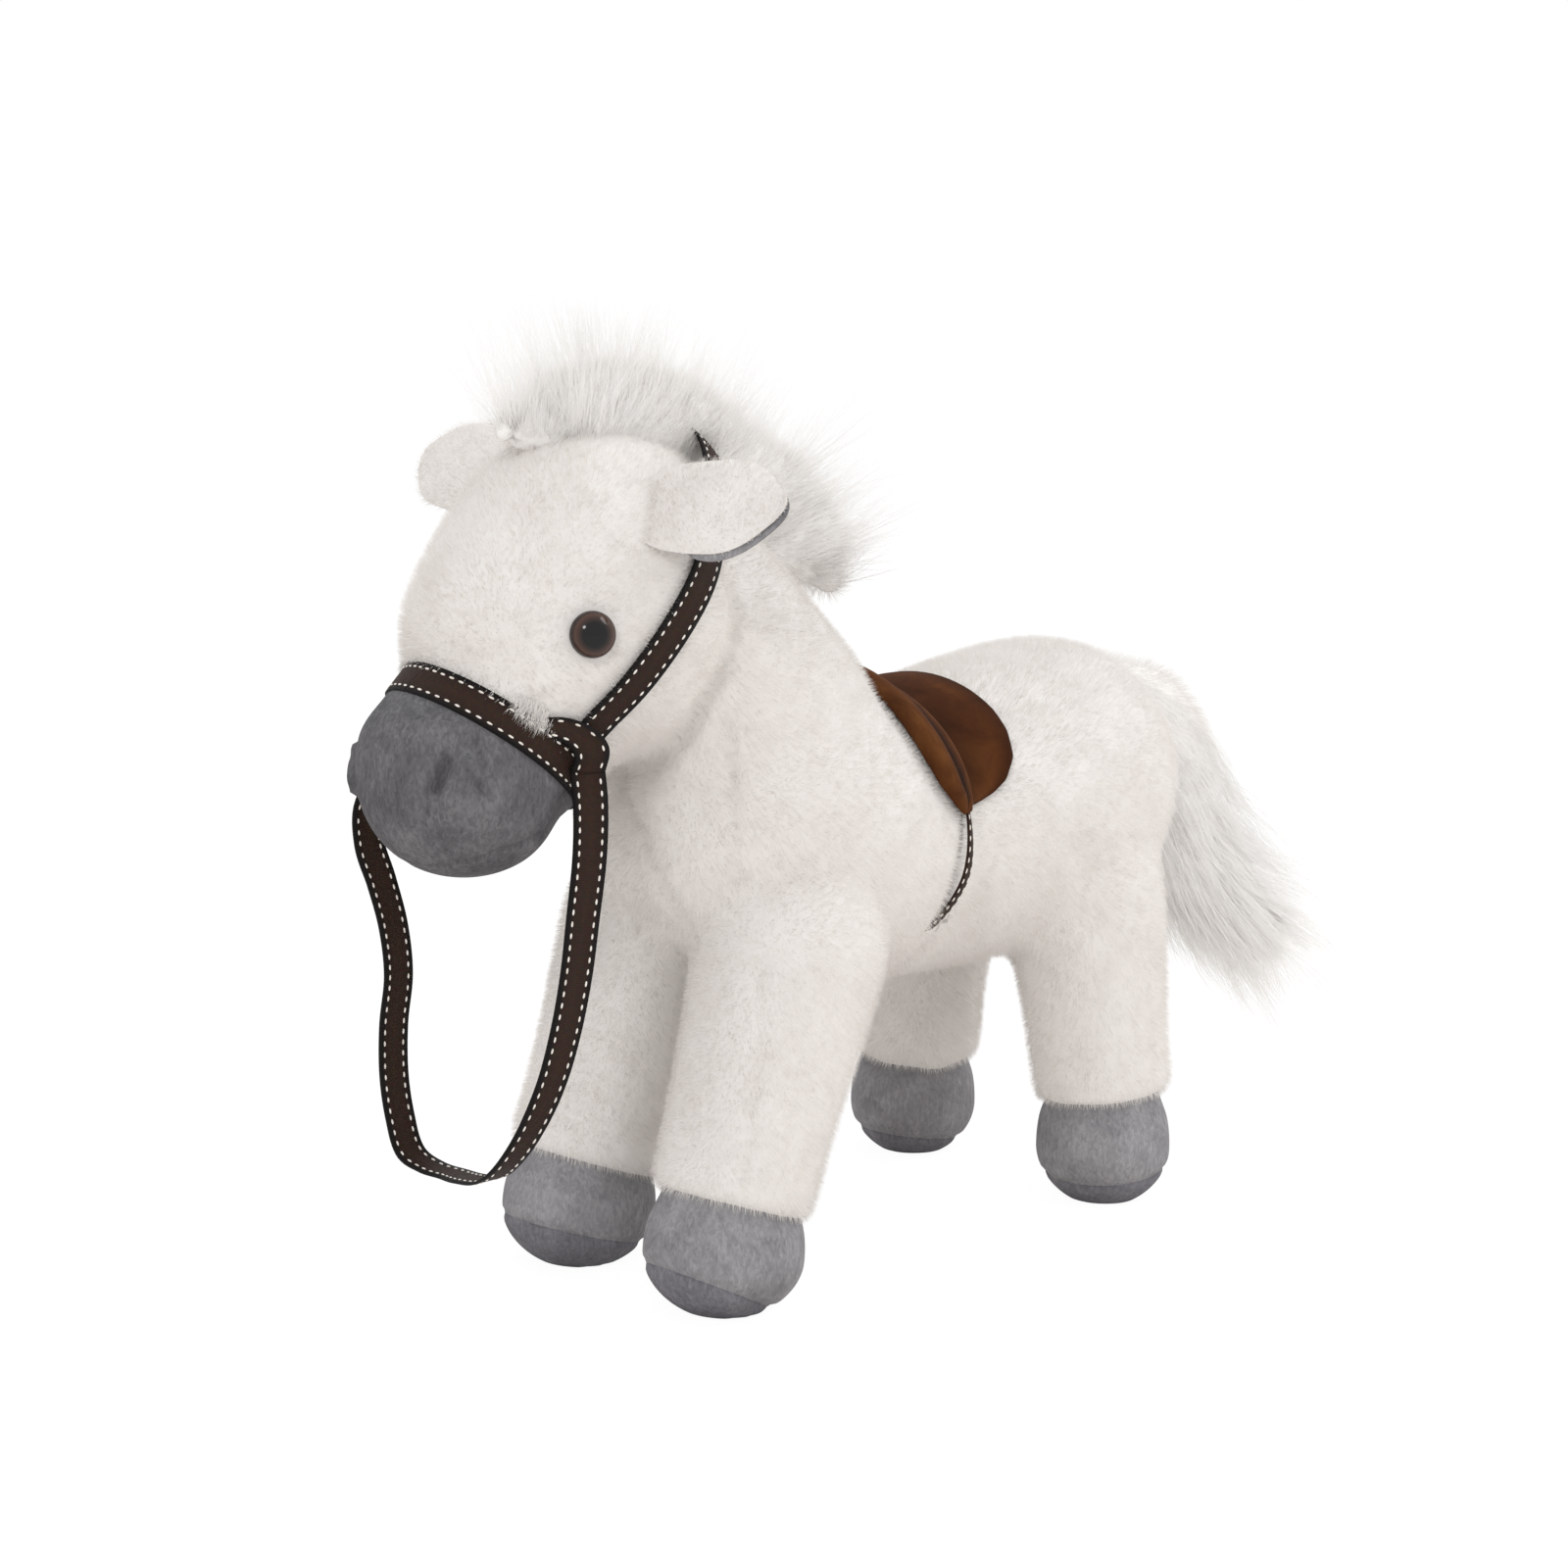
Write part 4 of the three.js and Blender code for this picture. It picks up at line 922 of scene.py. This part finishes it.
tuft_spot = on_form(head, 0.305, 0.4)
off_nose, off_headstall = -off_plane(nose_spot, nose_way), off_plane(headstall_low, headstall_way)
near_tuft = np.exp(-(np.linalg.norm(roots - np.array(tuft_spot), axis=1) / (5 * mm)) ** 2)
nose_lean, headstall_lean = np.array(nose_way), np.array(headstall_way)
for name, chosen, toward, strength in (
        ("noseband_tufts", (off_nose > 4.3) & (off_nose < 6.2 + 3 * near_tuft), nose_lean, 1 + 1.4 * near_tuft),
        ("headstall_tufts_front", (off_headstall > 4.4) & (off_headstall < 6), -headstall_lean, 0.8 + 0 * near_tuft),
        ("headstall_tufts_rear", (off_headstall < -4.4) & (off_headstall > -6), headstall_lean, 0.8 + 0 * near_tuft)):
    chosen = np.flatnonzero(chosen & over_head & ~in_muzzle)
    chosen = np.repeat(chosen, np.where(near_tuft[chosen] > 0.2, 9, 1))
    raised = roots[chosen] + outs[chosen] * 0.7 * mm + draws.normal(size=(len(chosen), 3)) * 0.45 * mm
    lean = unit(outs[chosen] * 0.7 + toward * 0.8 + draws.normal(size=(len(chosen), 3)) * 0.2)
    reach = draws.uniform(1.6, 3.1, (len(raised), 1)) * mm * strength[chosen][:, None]
    tips = raised + lean * reach - outs[chosen] * reach * 0.25
    across = unit(np.cross(lean, outs[chosen] + 0.01)) * 0.09 * mm
    above = unit(np.cross(lean, across)) * 0.09 * mm
    tufts = grown(name, fibre(1), np.stack([raised, tips], axis=1), np.stack([across] * 2, axis=1),
                  np.stack([above] * 2, axis=1), pile_fibre)
    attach(tufts, "horse")

# Ears: each is a leaf of white plush with a grey velboa lining, sewn to the head along its root.
# The left one droops further than the right, and the lining shows as a thin grey rim.
leaf_way, lining_way = Vector((0, 0.602, 0.799)), Vector((0, 0.799, -0.602))
for name, angle, root, tip, root_share, lining_shift in (
        ("left", 0.36, (26, -109, 225.5), (70, -91, 226.5), 0.62, Vector((0, 1.5, -1.1))),
        ("right", pi - 0.36, (-28, -100, 229), (-70, -103, 241), 0.7, Vector((0, 2.4, -0.4)))):
    hinge, out = seat_on(head, 0.78, angle)
    start, end = at(*root), at(*tip)
    for part, finish, slot, shift, grow in (
            ("back", plush_cloth, "white_plush", Vector(), -1.2 * mm),
            ("inside", hoof_cloths["pale_velboa"], "grey_velboa", lining_shift, -0.9 * mm)):
        lined = 0.45 if part == "inside" and name == "left" else 1
        ear_shares = [(0.00, 0.00, root_share * lined, 0.16), (0.28, 0.03, 0.96 * sqrt(lined), 0.55),
                      (0.50, 0.05, 1.06, 1.00), (0.78, 0.02, 1.02, 0.85), (1.00, -0.10, 0.78, 0.60)]
        droop = leaf_way * (-1.5 if part == "inside" and name == "left" else 0)
        leaf = form_of(start + (shift - droop * 0.8) * mm, end + (shift + droop) * mm, ear_shares, 30, 9, 0.2, 0.42,
                       leaf_way)
        bm = bmesh.new()
        add_stuffed(bm, leaf, grow, 40, 40)
        piece = new_piece(f"{name}_ear_{part}", bm, finish)
        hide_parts(f"{name}_ear_cover" if part == "back" else f"{name}_ear_lining")
        pieces = [piece]
        if part == "back":
            roots, outs = scattered(piece, 2.6, draws)
            kept = (outs @ np.array(lining_way)) < 0.3
            combed = np.broadcast_to(np.array((end - start).normalized()), outs.shape)
            pieces.append(short_pile(f"{name}_ear_pile", roots[kept], outs[kept], 2.2 * mm, 0.09 * mm, draws, combed[kept]))
        for piece in pieces:
            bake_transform(piece)

# Mane: long soft fur along the crest, from the forehead to the withers, upright in front and swept back behind.
# Short dense fur stands between the long fibres, whose ends cling together in thin wisps.
long_fibre = fibre_finish("long_fur", tone(255, 254, 253), tone(252, 251, 249))
strand_steps = 3


def sections_of(form, shares):
    """The middles of a form at many shares of its run, with the way that it runs there."""
    rows = np.linspace(0, 1, 80)
    middles = np.array([section(form, row)[0] for row in rows])
    ways = unit(np.gradient(middles, axis=0))
    return tuple(np.stack([np.interp(shares, rows, column) for column in table.T], axis=1) for table in (middles, ways))


def long_pile(name, roots, outs, ways, lengths, locks, width, draws):
    """Long fur on the given roots, whose ends cling together in thin locks."""
    leaders = draws.choice(len(roots), locks, replace=False)
    nearest = np.empty(len(roots), int)
    for begin in range(0, len(roots), 2000):
        gap = roots[begin:begin + 2000, None] - roots[None, leaders]
        nearest[begin:begin + 2000] = np.argmin((gap ** 2).sum(axis=2), axis=1)
    leader = leaders[nearest]
    longer = np.exp(np.clip(draws.normal(size=len(roots)), -2, 1.8) * 0.33)
    tips = roots + ways * lengths * longer[leader][:, None]
    tips[:, 1:] = np.minimum(tips[:, 1:], [[0.2265, 0.2835]] - draws.random((len(roots), 2)) * 5 * mm)
    gather = draws.uniform(0, 0.6, (len(roots), 1))
    tips = tips * (1 - gather) + (tips[leader] + (roots - roots[leader]) * 0.2) * gather
    bend = (roots + tips) / 2 + outs * lengths * 0.12 + draws.normal(size=roots.shape) * lengths * 0.03
    steps = np.linspace(0, 1, strand_steps + 1)[None, :, None]
    start = (roots - outs * mm)[:, None]
    paths = start * (1 - steps) ** 2 + bend[:, None] * 2 * steps * (1 - steps) + tips[:, None] * steps ** 2
    ahead = unit(np.gradient(paths, axis=1))
    side = unit(np.cross(ahead, outs[:, None] + 0.01))
    up = unit(np.cross(ahead, side))
    thin = width * (1 - 0.6 * steps)
    piece = grown(name, fibre(strand_steps), paths, side * thin, up * thin, long_fibre)
    return piece


mane_shares = [(0.00, 0.04, 0.50, 0.35), (0.20, 0.24, 0.92, 0.80), (0.45, 0.28, 1.00, 0.88),
               (0.70, 0.22, 0.92, 0.80), (0.88, 0.08, 0.78, 0.64), (1.00, -0.04, 0.60, 0.45)]
mane = form_of(at(0, -134, 243), at(0, 3, 199), mane_shares, 36, 54, 0.26, 0.2)
bm = bmesh.new()
add_stuffed(bm, mane, -5 * mm, 40, 48)
bm.normal_update()
bumps = swirl(np.array([vert.co[:] for vert in bm.verts]), 22 * mm, draws)[:, 0]
for vert, bump in zip(bm.verts, bumps):
    vert.co += vert.normal * bump * 1.6 * mm
mane_base = new_piece("mane_base", bm, long_fibre)
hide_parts("mane")
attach(mane_base, "horse")
mane_run = np.array(mane["end"] - mane["start"])
for name, per_mm2, long in (("mane_underfur", 1.5, False), ("mane_fur_front", 0.8, True), ("mane_fur_back", 0.7, True)):
    roots, outs = scattered(mane_base, per_mm2, draws)
    shares = np.clip((roots - np.array(mane["start"])) @ mane_run / (mane_run @ mane_run), 0, 1)
    angle = np.radians(102 - 76 * shares)
    swept = np.stack([angle * 0, np.cos(angle), np.sin(angle)], axis=1)
    rising = np.maximum(outs, [-1, -1, -0.25])
    ways = unit(swept * 0.8 + rising * 0.5 + swirl(roots, 16 * mm, draws) * 0.24 + draws.normal(size=roots.shape) * 0.16)
    if long:
        kept = (shares < 0.5) == (name == "mane_fur_front")
        tall = np.interp(shares, [0, 0.06, 0.12, 0.2, 0.27, 0.45, 0.6, 0.8, 1], [1.5, 1.9, 1.2, 2.2, 1.1, 1.1, 1.2, 1.4, 1.6])
        lengths = draws.uniform(5, 16, (len(roots), 1)) * mm * tall[:, None]
        piece = long_pile(name, roots[kept], outs[kept], ways[kept], lengths[kept], 420, 0.08 * mm, draws)
    else:
        piece = short_pile(name, roots, outs, 5.5 * mm, 0.08 * mm, draws, swept, fluff=0.08)
    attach(piece, "horse")

# Tail: the same long fur on a cloth core, sewn to the top of the rump, hanging out behind in a ragged brush.
tail_shares = [
    (0.000, 0.000, 0.70, 0.20), (0.065, 0.045, 0.80, 0.35), (0.215, 0.120, 0.88, 0.68), (0.300, 0.135, 0.94, 0.90),
    (0.380, 0.079, 1.00, 0.97), (0.464, -0.030, 1.00, 0.89), (0.574, -0.131, 0.96, 0.80), (0.707, -0.156, 0.85, 0.64),
    (0.860, -0.110, 0.66, 0.47), (1.000, -0.090, 0.45, 0.36),
]
tail = form_of(at(0, 100, 172), at(0, 246, 55), tail_shares, 40, 62, 0.05, 0.12)
bm = bmesh.new()
add_stuffed(bm, tail, -4 * mm, 40, 56)
tail_base = new_piece("tail_base", bm, long_fibre)
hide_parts("tail")
tail_run = np.array(tail["end"] - tail["start"])
tail_lift = np.array(across_x.cross(tail["end"] - tail["start"]).normalized())
tail_pieces = [tail_base]
for name, per_mm2, long in (("tail_underfur", 1.0, False), ("tail_fur_upper", 0.24, True), ("tail_fur_lower", 0.4, True)):
    roots, outs = scattered(tail_base, per_mm2, draws)
    shares = np.clip((roots - np.array(tail["start"])) @ tail_run / (tail_run @ tail_run), 0, 1)
    flow = sections_of(tail, np.clip(shares + 0.08, 0, 1))[1]
    above = np.sign((roots - sections_of(tail, shares)[0]) @ tail_lift)
    fork = tail_lift * (above * np.clip((shares - 0.45) / 0.3, 0, 1))[:, None]
    if long:
        kept = (shares < 0.5) == (name == "tail_fur_upper")
        ways = unit(flow + outs * 0.1 + fork * 0.13 + swirl(roots, 18 * mm, draws) * 0.12 + draws.normal(size=roots.shape) * 0.08)
        room = (1.06 - shares[:, None]) * np.linalg.norm(tail_run)
        lengths = np.clip(draws.uniform(24, 44, (len(roots), 1)) * mm, 0, np.maximum(room, 16 * mm))
        piece = long_pile(name, roots[kept], outs[kept], ways[kept], lengths[kept], 260, 0.09 * mm, draws)
    else:
        piece = short_pile(name, roots, outs, 6 * mm, 0.08 * mm, draws, flow * 1.8, fluff=0.06)
    tail_pieces.append(piece)
for piece in tail_pieces:
    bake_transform(piece)

# Inside: one body of loose polyester fibre fills the covers and keeps clear of them by the cloth's own thickness.
# Plain moulded washers hold the eyes' posts. Both only show if the cloth is opened.
hidden_finishes = {}
for name, dark, pale, grain_scale, roughness in (
        ("polyester_filling", tone(228, 228, 226), tone(250, 250, 248), 420.0, 1),
        ("washer_plastic", tone(214, 212, 205), tone(228, 226, 220), 90.0, 0.45)):
    finish, shader, add, join = blank_finish(name, roughness)
    grain = add("TexNoise", Scale=grain_scale, Detail=3.0)
    join(add("TexCoord").outputs["Object"], grain.inputs["Vector"])
    grain_tones = ramp_of(add, (0.35, dark), (0.65, pale))
    join(grain.outputs["Fac"], grain_tones.inputs[0])
    join(grain_tones.outputs[0], shader.inputs["Base Color"])
    hidden_finishes[name] = finish
bm = bmesh.new()
for form in (head, trunk, neck, *front_legs, *rear_legs, *hooves):
    add_stuffed(bm, form, -7 * mm, 32, 28)
filling = new_piece("filling", bm, hidden_finishes["polyester_filling"])
one_body = filling.modifiers.new("one body", "REMESH")
one_body.mode = "VOXEL"
one_body.voxel_size = 3.5 * mm
settled(filling)
filling.data.shade_smooth()
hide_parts("polyester_filling")
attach(filling, "horse")
for node in bpy.data.objects:
    if node.type == "MESH" and "eye_washer" in node.name:
        node.data.materials.clear()
        node.data.materials.append(hidden_finishes["washer_plastic"])
